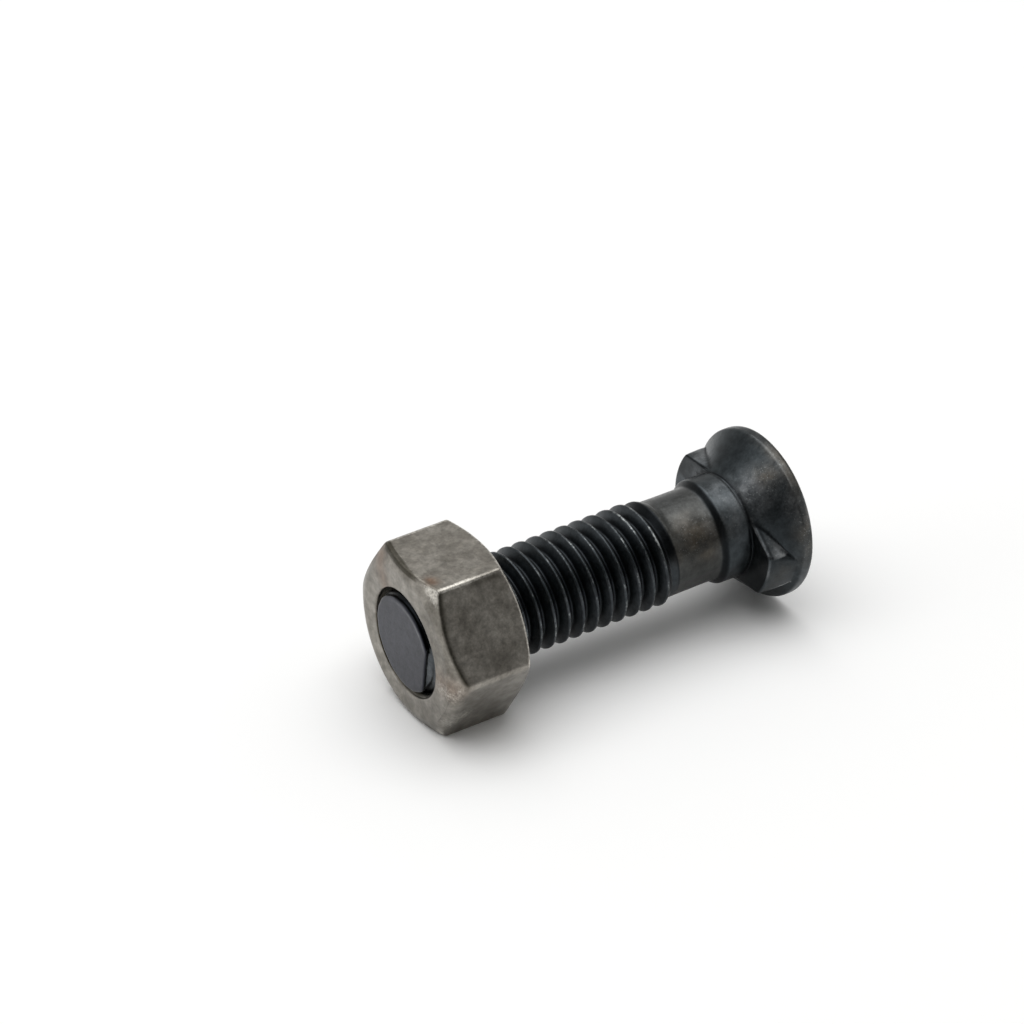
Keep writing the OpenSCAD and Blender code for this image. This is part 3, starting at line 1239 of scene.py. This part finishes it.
    def in_notch(self, skin: Skin) -> np.ndarray:
        """Which points are in the notch at the thread's start."""
        facing = skin.facing(self.notch_turn) > math.cos(math.radians(self.notch_half))
        return facing & (skin.height < self.notch_top)

    def thread_shell(self, material: bpy.types.Material) -> bpy.types.Mesh:
        """Makes the thread and opens the notch at its start.

        Args:
            material: the bolt's material.

        Returns:
            The thread from the edge of the flat end to the shank.
        """
        thread = ThreadSkin(
            crest_r=self.crest_r, root_r=self.root_r,
            foot=self.end_edge, foot_r=self.end_r, foot_run=self.thread_start,
            top=self.thread_top, top_r=self.shank_r, top_run=self.thread_stop,
            crest_fade=self.crest_fade, root_fade=self.root_fade,
        )
        mesh = thread.mesh(material)
        points = points_of(mesh)
        radius = np.hypot(points[:, 0], points[:, 1])
        outline = self.end_outline(np.arctan2(points[:, 1], points[:, 0]))
        cut = outline + self.notch_opens.at(points[:, 2])
        points[:, :2] *= (np.minimum(radius, cut) / radius)[:, None]
        move_points(mesh, points)
        return mesh

    def end_shell(self) -> bpy.types.Mesh:
        """Makes the flat end with its rounded edge.

        Returns:
            The end as a closed disc.
        """
        outline = self.end_outline(EVEN)
        edge = ((0.0, self.end_edge), *self.end_round)
        rings = [ring_points(outline - inset, EVEN, height) for inset, height in edge]
        rings += [ring_points(outline * share, EVEN, 0.0) for share in self.end_rings]
        return loft("bolt_end", rings, np.zeros(3))

    def nib_reach(self, turn: np.ndarray, height: np.ndarray) -> np.ndarray:
        """Radius of the nibs, which stand out of the cone on two opposite sides.

        Args:
            turn: angles round the bolt, in radians.
            height: heights along the bolt.

        Returns:
            The nibs' radius, or less than the collar's where there is no nib.
        """
        away = turn_from(math.radians(self.nib_turn), turn, math.pi)
        above = height - self.cone_foot
        root = self.nib_root + self.nib_swell * np.sin(math.pi * np.clip(above / self.nib_rise, 0.0, 1.0))
        slope = (root - self.nib_tip + self.nib_taper * above ** 2) / self.nib_r
        wall = root / (np.abs(np.sin(away)) + slope * np.cos(away))
        plan = soft_min(self.nib_r + self.nib_flare * above, wall, self.nib_corner)
        inside = np.clip(1.0 - (above - self.nib_draft) / self.nib_edge, 0.0, 1.0)
        edge = plan - self.nib_edge * (1.0 - np.sqrt(1.0 - inside ** 2))
        share = np.clip(above / self.nib_draft, 0.0, 1.0)
        return share * edge + (1.0 - share) * self.nib_foot_r

    def ring_heights(self) -> np.ndarray:
        """Heights of the forging's rings, which stand closer where its outline turns.

        Returns:
            Rising heights from the end of the thread to the rim's rounding.
        """
        nib_start = self.cone_foot + self.nib_draft
        nib_full = nib_start + self.nib_edge
        rim_start = self.rim_foot - self.rim_span
        stations = (
            self.thread_top, self.collar_foot + self.collar_span[0], self.collar_foot + self.collar_span[1],
            self.cone_foot - self.groove_span, self.cone_foot, nib_start,
        )
        spans = zip(stations, stations[1:], self.shank_rings)
        heights = [np.linspace(low, high, count)[:-1] for low, high, count in spans]
        quarter = np.linspace(0.0, math.pi / 2, self.nib_edge_rings)[:-1]
        heights.append(nib_start + self.nib_edge * (1.0 - np.cos(quarter)))
        heights.append(np.linspace(nib_full, rim_start, self.cone_rings)[:-1])
        heights.append(np.linspace(rim_start, self.length - self.rim_round, self.rim_rings))
        return np.concatenate(heights)

    def forging_shell(self) -> bpy.types.Mesh:
        """Makes the shank, the collar, the cone with its nibs, the rim and the face.

        Returns:
            The forged part of the bolt from the end of the thread.
        """
        corner = math.atan2(self.nib_tip, self.nib_r)
        nibs = (math.radians(self.nib_turn), math.radians(self.nib_turn) + math.pi)
        centres = [nib + side * corner for nib in nibs for side in (-1, 1)]
        crowded = crowded_angles(centres, self.crowd_spread, self.crowd)
        outline = rounded(
            [
                (0.0, self.shank_r),
                (self.collar_foot, self.shank_r),
                (self.collar_foot + self.collar_r - self.shank_r, self.collar_r),
                *((self.cone_foot + along, self.collar_r + out) for along, out in self.groove),
                (self.rim_foot, self.head_r),
                (self.length - self.rim_round, self.head_r),
            ],
            self.outline_rounds,
        )
        rings = []
        for height in self.ring_heights():
            share = smooth_step(self.thread_top, self.collar_foot - self.crowd_end, height)
            turn = EVEN + share * (crowded - EVEN)
            radius = np.full(COLUMNS, np.interp(height, outline[:, 0], outline[:, 1]))
            if self.cone_foot <= height < self.rim_foot:
                nib = self.nib_reach(turn, np.full(COLUMNS, height))
                radius = -soft_min(-radius, -nib, self.nib_fillet)
            rings.append(ring_points(radius, turn, height))
        for step in np.linspace(0.0, math.pi / 2, self.rim_round_rings)[1:]:
            radius = self.head_r - self.rim_round * (1 - math.cos(step))
            rings.append(ring_points(radius, crowded, self.length - self.rim_round * (1 - math.sin(step))))
        face_r = self.head_r - self.rim_round
        rings += [ring_points(share * face_r, crowded, self.length) for share in self.face_rings]
        return loft("bolt_forging", rings, np.array([0.0, 0.0, self.length]))

    def head_lean(self, points: np.ndarray) -> np.ndarray:
        """How far the forging's head leans along the bolt, since it isn't quite square to the shank.

        Args:
            points: places in the bolt's own millimetres.

        Returns:
            A shift along the bolt for each place.
        """
        heights, shifts, slopes = np.array(self.lean).T
        turn = math.radians(self.lean_turn)
        towards = points[:, 0] * math.cos(turn) + points[:, 1] * math.sin(turn)
        shift = np.interp(points[:, 2], heights, shifts)
        return shift + np.interp(points[:, 2], heights, slopes) * towards

    def build(self, axes: BoltAxes, finish: BlackOxide) -> bpy.types.Object:
        """Makes the bolt in its place.

        Args:
            axes: where the bolt lies.
            finish: the bolt's finish.

        Returns:
            The bolt.
        """
        material = finish.material()
        shells = [self.thread_shell(material), self.end_shell(), self.forging_shell()]
        mesh = welded("black_plow_bolt", shells)
        points = points_of(mesh)
        self.dress(mesh, points)
        forged = self.lumps_from.at(points[:, 2] - self.thread_top)
        points = points - outward_of(points) * (self.lump * forged * self.lumps.at(points))[:, None]
        points[:, 2] += self.head_lean(points)
        return show(mesh, axes.place(points), material)

    def dress(self, mesh: bpy.types.Mesh, points: np.ndarray) -> None:
        """Stores the bolt's rubbing, its light and brown scale and its darker patches, and where shade,
        highlights and glints are painted.

        Args:
            mesh: the bolt's mesh.
            points: its points in the bolt's own millimetres.
        """
        skin = Skin(points)
        for wear_and_light in self.wear_and_light:
            wear_and_light.dress(self, skin)
        # Painted shade with dark spots, painted highlights with light scale, and brown scale
        skin.add(WearAndLight.SHADE_AND_DIRT, skin.cover(self.shade_and_dark_spots))
        skin.add(WearAndLight.PALE_AND_HIGHLIGHT, skin.cover(self.highlight_and_pale_spots))
        skin.add(WearAndLight.BROWN, skin.cover(self.brown_spots))
        skin.store(mesh)


@dataclass(frozen=True)
class Crown:
    """The chamfer at one end of the nut, a shallow dome outside the round face."""

    face_r: float
    dome_r: float
    blend: float = 0.12

    def sharp(self, radius: np.ndarray) -> np.ndarray:
        """Depth of the dome below the nut's face, negative inside the round face."""
        depth = math.sqrt(self.dome_r ** 2 - self.face_r ** 2)
        return depth - np.sqrt(self.dome_r ** 2 - radius ** 2)

    def depth(self, radius: np.ndarray) -> np.ndarray:
        """Depth of the end of the nut, flat inside and domed outside."""
        return -soft_min(np.zeros_like(radius), -self.sharp(radius), self.blend)


@dataclass(frozen=True)
class NutWearAndLight:
    """Rubbed edges and corners of the nut with painted highlights and painted reflections, painted shadow in
    its mouth, painted shade along its edges and under a corner, a painted reflection strip on the top flat,
    dull patches and stains.
    """

    # Rubbed edges and corners, brightened further as painted highlights on the corners, chamfers and lip,
    # with painted reflections on the front and the lower flat
    on_flat: Ramp = Ramp(0.84, 0.9)
    edge_rub: Stripe = Stripe(0.0, 0.22)
    front_rub: float = 0.45
    front_rub_less: float = 0.8
    corner_rub_and_highlight: float = 0.9
    low_corner_rub_and_highlight: float = 0.2
    top_corner_fade: Ramp = Ramp(3.0, 6.5, 0.5)
    corner_from: Ramp = Ramp(9.08, 9.2)
    chamfer_from: Ramp = Ramp(7.2, 7.45)
    chamfer_stop: Ramp = Ramp(0.1, -0.1)
    chamfer_corner: Ramp = Ramp(7.7, 8.5)
    reflection_from: float = 5.6
    lip_highlight: Stripe = Stripe(0.08, 0.14, 0.7)
    lip_turn: Stripe = Stripe(26.0, 22.0)
    lip_depth: float = 0.3

    # Painted shadow in the mouth, from the radius where it starts to where it is full, further out on the low
    # side
    mouth_shadow: Pair = (5.4, 5.1)
    mouth_shadow_low: Pair = (0.12, 0.26)
    mouth_low_side: Stripe = Stripe(55.0, 38.0)

    # A painted shade line along the front edge, with what the near flat adds to its width and both lower
    # flats to its amount
    edge_shade_width: Pair = (0.18, 0.12)
    edge_shade: tuple[float, float, float] = (0.3, 0.4, -0.2)
    edge_shade_depth: float = 0.25

    # Painted shade under the top corner, towards the back
    under_turn: float = -147.4
    under_corner: Stripe = Stripe(0.0, 0.2, 0.5)
    under_from: Ramp = Ramp(3.0, 6.0)
    under_r: float = 8.6
    under_stop: float = 1.5

    # A painted dark reflection strip along the front edge of the top flat, and a painted light line behind it
    strip_reach: float = 0.46
    strip_narrows: Ramp = Ramp(168.0, 196.0, 0.4)
    strip_height: Ramp = Ramp(7.6, 7.74, 0.72)
    strip_stop: Ramp = Ramp(0.06, -0.06)
    strip_ends: tuple[Ramp, Ramp] = (Ramp(147.0, 152.0), Ramp(199.0, 190.0))
    strip_light: Stripe = Stripe(0.1, 0.08, 0.55)
    strip_light_depth: float = 0.05
    strip_light_ends: tuple[Ramp, Ramp] = (Ramp(149.0, 153.0), Ramp(205.0, 198.0))

    brown_spots: tuple[Spot, ...] = (
        Spot(-160.0, 1.5, 0.6, 0.8, 1.0), Spot(-85.0, 0.45, 1.3, 0.8, 0.4), Spot(146.0, 0.6, 1.0, 0.6, 0.55),
    )
    dull_spots: tuple[Spot, ...] = (Spot(-114.0, 0.3, 1.6, 0.6, 0.25), Spot(-135.0, 0.45, 1.2, 0.5, 0.3))
    # Rubbed patches on the chamfers by the corners, brightened further as painted highlights
    rub_and_highlight_spots: tuple[Spot, ...] = (
        Spot(-152.0, 1.0, 1.8, 0.7, 0.95), Spot(-86.0, 0.8, 1.1, 0.8, 0.6), Spot(-30.0, 1.2, 1.6, 0.8, 0.8),
    )
    # Painted reflections on the front and the lower flat
    reflection_spots: tuple[Spot, ...] = (
        Spot(-80.0, 0.4, 1.3, 0.9, 0.6), Spot(-48.0, 1.4, 1.5, 0.8, 0.8), Spot(-54.0, 2.2, 1.5, 1.0, 0.8),
    )

    def dress(self, nut: HexNut, skin: Skin) -> None:
        """Lays these marks and this painted light on the nut.

        Args:
            nut: the nut's sizes.
            skin: its points and what is laid on them.
        """
        near_flat = self.on_flat.at(skin.facing(nut.near_flat))
        low_flat = self.on_flat.at(skin.facing(nut.low_flat))
        outer = nut.hex_radius(skin.turn)
        behind_edge = skin.height - nut.setback - nut.front.sharp(outer)
        self.rub_and_highlight(nut, skin, np.maximum(near_flat, low_flat), behind_edge)
        self.darken(nut, skin)
        # A painted shade line along the front edge of the flats
        width = self.edge_shade_width[0] + self.edge_shade_width[1] * near_flat
        line = np.exp(-(((behind_edge - nut.edge_round / 2) / width) ** 2))
        amount = self.edge_shade[0] + self.edge_shade[1] * near_flat + self.edge_shade[2] * low_flat
        skin.add(WearAndLight.SHADE_AND_DIRT, line * (skin.radius > outer - self.edge_shade_depth) * amount)

        # The painted reflection strip along the front edge of the top flat, and its painted light line
        degrees = skin.degrees(0.0)
        behind_strip = behind_edge - self.strip_reach + self.strip_narrows.at(degrees)
        strip = self.strip_height.at(-skin.points[:, 0]) * self.strip_stop.at(behind_strip)
        light = self.strip_light.at(behind_strip) * (skin.radius > outer - self.strip_light_depth)
        for end, light_end in zip(self.strip_ends, self.strip_light_ends):
            strip *= end.at(degrees)
            light *= light_end.at(degrees)
        skin.add(WearAndLight.SHADE_AND_DIRT, strip)
        skin.add(WearAndLight.WEAR_AND_HIGHLIGHT, light)
        skin.add(WearAndLight.BROWN, skin.cover(self.brown_spots))

    def rub_and_highlight(self, nut: HexNut, skin: Skin, on_low: np.ndarray, behind_edge: np.ndarray) -> None:
        """Rubs the nut's edges and corners, and paints highlights on the corners, the chamfers and the lip of
        its mouth and reflections on its front.

        Args:
            nut: the nut's sizes.
            skin: its points and what is laid on them.
            on_low: share of the two lower flats, whose front edge is rubbed less.
            behind_edge: height above the front edge of the flats.
        """
        radius = skin.radius
        outer = nut.hex_radius(skin.turn)
        low = skin.height - nut.setback
        from_back = np.hypot(radius - outer, nut.height - low - nut.back.sharp(outer))
        front_rub = self.front_rub * (1.0 - self.front_rub_less * on_low)
        skin.add(WearAndLight.WEAR_AND_HIGHLIGHT, front_rub * self.edge_rub.at(np.hypot(radius - outer, behind_edge)))
        skin.add(WearAndLight.WEAR_AND_HIGHLIGHT, self.edge_rub.at(from_back))
        # Rubbed corners, brightened further as painted highlights
        at_low = skin.facing(nut.low_corner) > nut.corner_cos
        at_top = skin.facing(nut.top_corner) > nut.corner_cos
        corner_rub_and_highlight = np.where(at_low, self.low_corner_rub_and_highlight, self.corner_rub_and_highlight)
        corner_rub_and_highlight = np.where(at_top, 1.0 - self.top_corner_fade.at(low), corner_rub_and_highlight)
        skin.add(WearAndLight.WEAR_AND_HIGHLIGHT, corner_rub_and_highlight * self.corner_from.at(radius))
        # Painted highlights on the chamfers by the corners, and painted reflections
        on_chamfer = self.chamfer_from.at(radius) * self.chamfer_stop.at(behind_edge)
        by_corner = on_chamfer * self.chamfer_corner.at(radius)
        skin.add(WearAndLight.WEAR_AND_HIGHLIGHT, by_corner * skin.cover(self.rub_and_highlight_spots))
        skin.add(WearAndLight.WEAR_AND_HIGHLIGHT, (radius > self.reflection_from) * skin.cover(self.reflection_spots))
        # A painted highlight on the lip of the mouth
        lip = self.lip_highlight.at(radius - nut.mouth_r) * (low < self.lip_depth)
        skin.add(WearAndLight.WEAR_AND_HIGHLIGHT, lip * self.lip_turn.at(skin.degrees(0.0)))

    def darken(self, nut: HexNut, skin: Skin) -> None:
        """Paints shadow in the mouth and shade under the top corner, and lays dull patches.

        Args:
            nut: the nut's sizes.
            skin: its points and what is laid on them.
        """
        # Painted shadow in the mouth, wider on the low side
        low_mouth = self.mouth_low_side.at(skin.degrees(0.0))
        shadow_start, full = (at + more * low_mouth for at, more in zip(self.mouth_shadow, self.mouth_shadow_low))
        skin.add(WearAndLight.SHADE_AND_DIRT, smooth_step(shadow_start, full, skin.radius))
        # Painted shade under the top corner
        low = skin.height - nut.setback
        under = self.under_corner.at(turn_from(math.radians(self.under_turn), skin.turn) * skin.radius)
        below = (skin.radius > self.under_r) & (nut.height - low > self.under_stop)
        skin.add(WearAndLight.SHADE_AND_DIRT, under * self.under_from.at(low) * below)
        skin.add(WearAndLight.SHADE_AND_DIRT, skin.cover(self.dull_spots))


@dataclass(frozen=True)
class HexNut:
    """The nut: crowned chamfers at both ends, rounded corners and a threaded hole.

    Turns are in degrees, and the lean is a slope down and one sideways.
    """

    flats: float = 16.1
    height: float = 8.44
    setback: float = 0.24
    front: Crown = Crown(7.35, 17.4)
    back: Crown = Crown(7.2, 18.4)
    corner_round: float = 0.3
    low_corner_round: float = 0.55
    edge_round: float = 0.2
    low_edge_round: Ramp = Ramp(0.82, 0.97, 0.7)
    mouth_r: float = 5.5
    mouth_edge: float = 0.22
    mouth_run: float = 1.0
    seat_run: float = 1.8
    crest_r: float = 5.08
    root_r: float = 4.2
    lump: float = 0.012
    lumps: Mottle = Mottle(1.0, 1.0, 2.2, 7.0)
    outside: Ramp = Ramp(5.6, 7.0)
    off_centre: Pair = (-0.05, -0.06)
    lean: Pair = (-0.008, -0.014)
    wear_and_light: NutWearAndLight = NutWearAndLight()

    # Where the flats and corners that differ from the others are
    near_flat: float = -120.0
    low_flat: float = -60.0
    top_corner: float = -150.0
    low_corner: float = -90.0
    corner_cos: float = 0.9

    # How the rings and columns of the mesh are spread
    mouth_rings: int = 5
    face_spans: tuple[tuple[float, float, int], ...] = ((5.65, 6.7, 5), (6.9, 7.5, 6))
    crowd_r: float = 7.3
    crowd_spread: float = 2.2
    crowd: float = 5.0
    chamfer_rings: tuple[float, ...] = (0.14, 0.28, 0.42, 0.56, 0.7, 0.85, 1.0)
    edge_rings: tuple[float, ...] = (0.17, 0.33, 0.5, 0.67, 0.83, 1.0)
    side_rings: tuple[float, ...] = (0.03, 0.06, 0.09, 0.13, 0.18, 0.26, 0.4, 0.7)

    def hex_radius(self, turn: np.ndarray) -> np.ndarray:
        """Radius of the rounded hexagon, whose flats are above and below.

        Args:
            turn: angles round the nut, in radians.

        Returns:
            The radius at each angle.
        """
        sixth = math.pi / 3
        away = np.abs(turn_from(0.0, turn, sixth))
        flat = self.flats / 2 / np.cos(away)
        at_low_corner = np.cos(turn - math.radians(self.low_corner)) > self.corner_cos
        radius = self.corner_round + self.low_corner_round * at_low_corner
        inner = self.flats / 2 - radius
        start = np.arctan(inner * math.tan(sixth / 2) / (self.flats / 2))
        centre = inner / math.cos(sixth / 2)
        to_corner = sixth / 2 - away
        inside = np.maximum(radius ** 2 - (centre * np.sin(to_corner)) ** 2, 0.0)
        return np.where(away < start, flat, centre * np.cos(to_corner) + np.sqrt(inside))

    def end_rows(self, crown: Crown) -> list[tuple[np.ndarray, np.ndarray, np.ndarray]]:
        """Rings of one end of the nut, from the mouth of the hole to near the middle of the flats.

        Args:
            crown: the end's chamfer.

        Returns:
            Radius, depth below the face and angle of the points of each ring.
        """
        corners = [math.radians(30 + 60 * index) for index in range(6)]
        crowded = crowded_angles(corners, self.crowd_spread, self.crowd)
        outer = self.hex_radius(crowded)
        even_ring = np.ones(COLUMNS)
        low_side = np.cos(crowded - math.radians(self.low_flat))
        edge_round = self.edge_round + self.low_edge_round.at(low_side)
        rows = []
        for lean in np.linspace(0.0, math.pi / 2, self.mouth_rings):
            ring = even_ring * (self.mouth_r - self.mouth_edge * math.cos(lean))
            rows.append((ring, even_ring * self.mouth_edge * (1 - math.sin(lean)), EVEN))
        for radius in np.concatenate([np.linspace(*span) for span in self.face_spans]):
            share = smooth_step(self.mouth_r, self.crowd_r, radius)
            ring = even_ring * radius
            rows.append((ring, crown.depth(ring), EVEN + share * (crowded - EVEN)))
        face_ring = rows[-1][0]
        edge = crown.sharp(outer)
        slope = outer / np.sqrt(crown.dome_r ** 2 - outer ** 2)
        before = outer - edge_round / np.sqrt(1 + slope ** 2)
        for share in self.chamfer_rings:
            ring = face_ring + share * (before - face_ring)
            rows.append((ring, crown.depth(ring), crowded))
        begin = rows[-1][1]
        for share in self.edge_rings:
            ring = (1 - share) ** 2 * before + (1 - (1 - share) ** 2) * outer
            depth = (1 - share) ** 2 * begin + 2 * share * (1 - share) * edge
            rows.append((ring, depth + share ** 2 * (edge + edge_round), crowded))
        foot = rows[-1][1]
        for share in self.side_rings:
            rows.append((outer, foot + share * (self.height / 2 - foot), crowded))
        return rows

    def outer_shell(self) -> bpy.types.Mesh:
        """Makes the outside of the nut from one mouth of the hole to the other.

        Returns:
            The outside as an open shell.
        """
        rows = self.end_rows(self.front)
        rows.append((rows[-1][0], np.full(COLUMNS, self.height / 2), rows[-1][2]))
        back = reversed(self.end_rows(self.back))
        rows += [(ring, self.height - depth, turn) for ring, depth, turn in back]
        rings = [ring_points(ring, turn, depth + self.setback) for ring, depth, turn in rows]
        return loft("nut_outside", rings)

    def build(self, axes: BoltAxes, finish: BareSteel) -> bpy.types.Object:
        """Makes the nut in its place.

        Args:
            axes: where the bolt lies.
            finish: the nut's finish.

        Returns:
            The nut.
        """
        material = finish.material()
        hole_r = self.mouth_r - self.mouth_edge
        # The long lead-in on the seat's side clears the bolt's end when the nut is at its outer limit
        hole = ThreadSkin(
            crest_r=self.crest_r, root_r=self.root_r,
            foot=self.setback + self.mouth_edge, foot_r=hole_r, foot_run=self.mouth_run,
            top=self.setback + self.height - self.mouth_edge, top_r=hole_r, top_run=self.seat_run,
        )
        mesh = welded("steel_hex_nut", [hole.mesh(material), self.outer_shell()])
        points = points_of(mesh)
        self.dress(mesh, points)
        outward = outward_of(points)
        outside = self.outside.at(np.hypot(points[:, 0], points[:, 1]))
        points[:, 2] += outside * (points[:, :2] @ np.array(self.lean))
        points[:, :2] += outside[:, None] * np.array(self.off_centre)
        points = points - outward * (self.lump * outside * self.lumps.at(points))[:, None]
        return show(mesh, axes.place(points), material)

    def dress(self, mesh: bpy.types.Mesh, points: np.ndarray) -> None:
        """Stores where the nut is rubbed, stained and dull, and where shade, shadow, highlights and
        reflections are painted.

        Args:
            mesh: the nut's mesh.
            points: its points in the bolt's own millimetres.
        """
        skin = Skin(points)
        self.wear_and_light.dress(self, skin)
        skin.store(mesh)


@dataclass(frozen=True)
class PhotoCamera:
    """The camera, set by where the nut's outer face stands in the picture. Angles are in degrees."""

    azimuth: float = -29.914
    elevation: float = 34.559
    roll: float = -1.882
    lens: float = 177.87
    sensor: float = 36.0
    depth: float = 453.13
    nearest_m: float = 0.01
    picture_px: float = 1024.0
    nut_face_px: Pair = (404.5, 643.5)
    nut_face_station: float = 0.2

    def build(self, axes: BoltAxes) -> bpy.types.Object:
        """Puts the camera in its place.

        Args:
            axes: where the bolt lies.

        Returns:
            The camera.
        """
        target = axes.place(np.array([0.0, 0.0, self.nut_face_station]))
        azimuth = math.radians(self.azimuth)
        elevation = math.radians(self.elevation)
        level = math.cos(elevation)
        back = Vector((math.sin(azimuth) * level, -math.cos(azimuth) * level, math.sin(elevation)))
        right = Vector((0.0, 0.0, 1.0)).cross(back).normalized()
        up = back.cross(right)
        spin = Matrix.Rotation(math.radians(self.roll), 3, back)
        right = spin @ right
        up = spin @ up
        mm_per_px = self.depth * self.sensor / self.lens / self.picture_px
        across, below = ((at - self.picture_px / 2) * mm_per_px for at in self.nut_face_px)
        place = Vector(target) / MM - right * across + up * below + back * self.depth
        data = bpy.data.cameras.new("camera")
        data.lens = self.lens
        data.sensor_width = self.sensor
        data.clip_start = self.nearest_m
        camera = bpy.data.objects.new("camera", data)
        turn = Matrix((right, up, back)).transposed().to_4x4()
        camera.matrix_world = Matrix.Translation(place * MM) @ turn
        bpy.context.scene.collection.objects.link(camera)
        bpy.context.scene.camera = camera
        return camera


@dataclass(frozen=True)
class SoftLight:
    """A square soft light that faces the bolt, in metres and watts."""

    name: str
    place: tuple[float, float, float]
    side: float
    power: float

    def build(self) -> None:
        """Hangs the light."""
        data = bpy.data.lights.new(self.name, "AREA")
        data.size = self.side
        data.energy = self.power
        lamp = bpy.data.objects.new(self.name, data)
        lamp.location = self.place
        lamp.rotation_euler = Vector(self.place).to_track_quat("Z", "Y").to_euler()
        bpy.context.scene.collection.objects.link(lamp)


@dataclass(frozen=True)
class Studio:
    """Pale floor in a bright room that is darker on the camera's side, with two soft lights."""

    floor_colour: str = "#fafafa"
    floor_roughness: float = 0.9
    floor_side_m: float = 6.0
    room_colour: str = "#fafaf8"
    bright: float = 0.58
    dark: float = 0.113
    dark_side: tuple[float, float, float] = (-0.55, -0.82, 0.1)
    dark_full: float = 0.85
    lights: tuple[SoftLight, ...] = (
        SoftLight("overhead", (-0.05, 0.1, 0.75), 1.0, 5.6),
        SoftLight("left", (-0.95, 0.3, 0.3), 0.6, 0.9),
    )

    def build(self) -> None:
        """Builds the floor, the room and the lights."""
        self.add_floor()
        self.add_room()
        for light in self.lights:
            light.build()
        bpy.context.scene.view_settings.view_transform = "Standard"

    def add_floor(self) -> None:
        """Lays the floor under the bolt, of matt paper that shows only the soft shadow."""
        half = self.floor_side_m / 2
        mesh = bpy.data.meshes.new("floor")
        corners = [(-half, -half, 0.0), (half, -half, 0.0), (half, half, 0.0), (-half, half, 0.0)]
        mesh.from_pydata(corners, [], [(0, 1, 2, 3)])
        material = bpy.data.materials.new("matt white paper")
        material.use_nodes = True
        shader = material.node_tree.nodes["Principled BSDF"]
        shader.inputs["Base Color"].default_value = linear(self.floor_colour)
        shader.inputs["Roughness"].default_value = self.floor_roughness
        mesh.materials.append(material)
        floor = bpy.data.objects.new("floor", mesh)
        bpy.context.scene.collection.objects.link(floor)

    def add_room(self) -> None:
        """Surrounds the bolt with soft light that fades towards the dark side."""
        world = bpy.data.worlds.new("room")
        world.use_nodes = True
        tree = world.node_tree
        tree.nodes.clear()
        way = add_node(tree, "ShaderNodeTexCoord").outputs["Generated"]
        facing = add_node(tree, "ShaderNodeVectorMath", {"operation": "DOT_PRODUCT"}, {
            0: way, 1: Vector(self.dark_side).normalized(),
        }).outputs["Value"]
        strength = add_node(tree, "ShaderNodeMapRange", {"interpolation_type": "SMOOTHSTEP"}, {
            "Value": facing, "From Min": 0.0, "From Max": self.dark_full,
            "To Min": self.bright, "To Max": self.dark,
        }).outputs[0]
        sky = add_node(tree, "ShaderNodeBackground", links={
            "Color": linear(self.room_colour), "Strength": strength,
        })
        add_node(tree, "ShaderNodeOutputWorld", links={"Surface": sky.outputs[0]})
        bpy.context.scene.world = world


def main() -> None:
    """Builds the bolt, its nut, the studio and the camera."""
    logging.basicConfig(level=logging.INFO, format="%(name)s: %(message)s")
    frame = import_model()
    bolt_sizes = PlowBolt()
    nut_sizes = HexNut()
    axes = BoltAxes.from_record(frame["record"], bolt_sizes.length)

    bolt = bolt_sizes.build(axes, BlackOxide())
    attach(bolt, "bolt")
    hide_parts("plow_bolt")

    nut = nut_sizes.build(axes, BareSteel())
    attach(nut, "nut")
    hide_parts("hex_nut")

    Studio().build()
    PhotoCamera().build(axes)


if __name__ == "__main__":
    main()
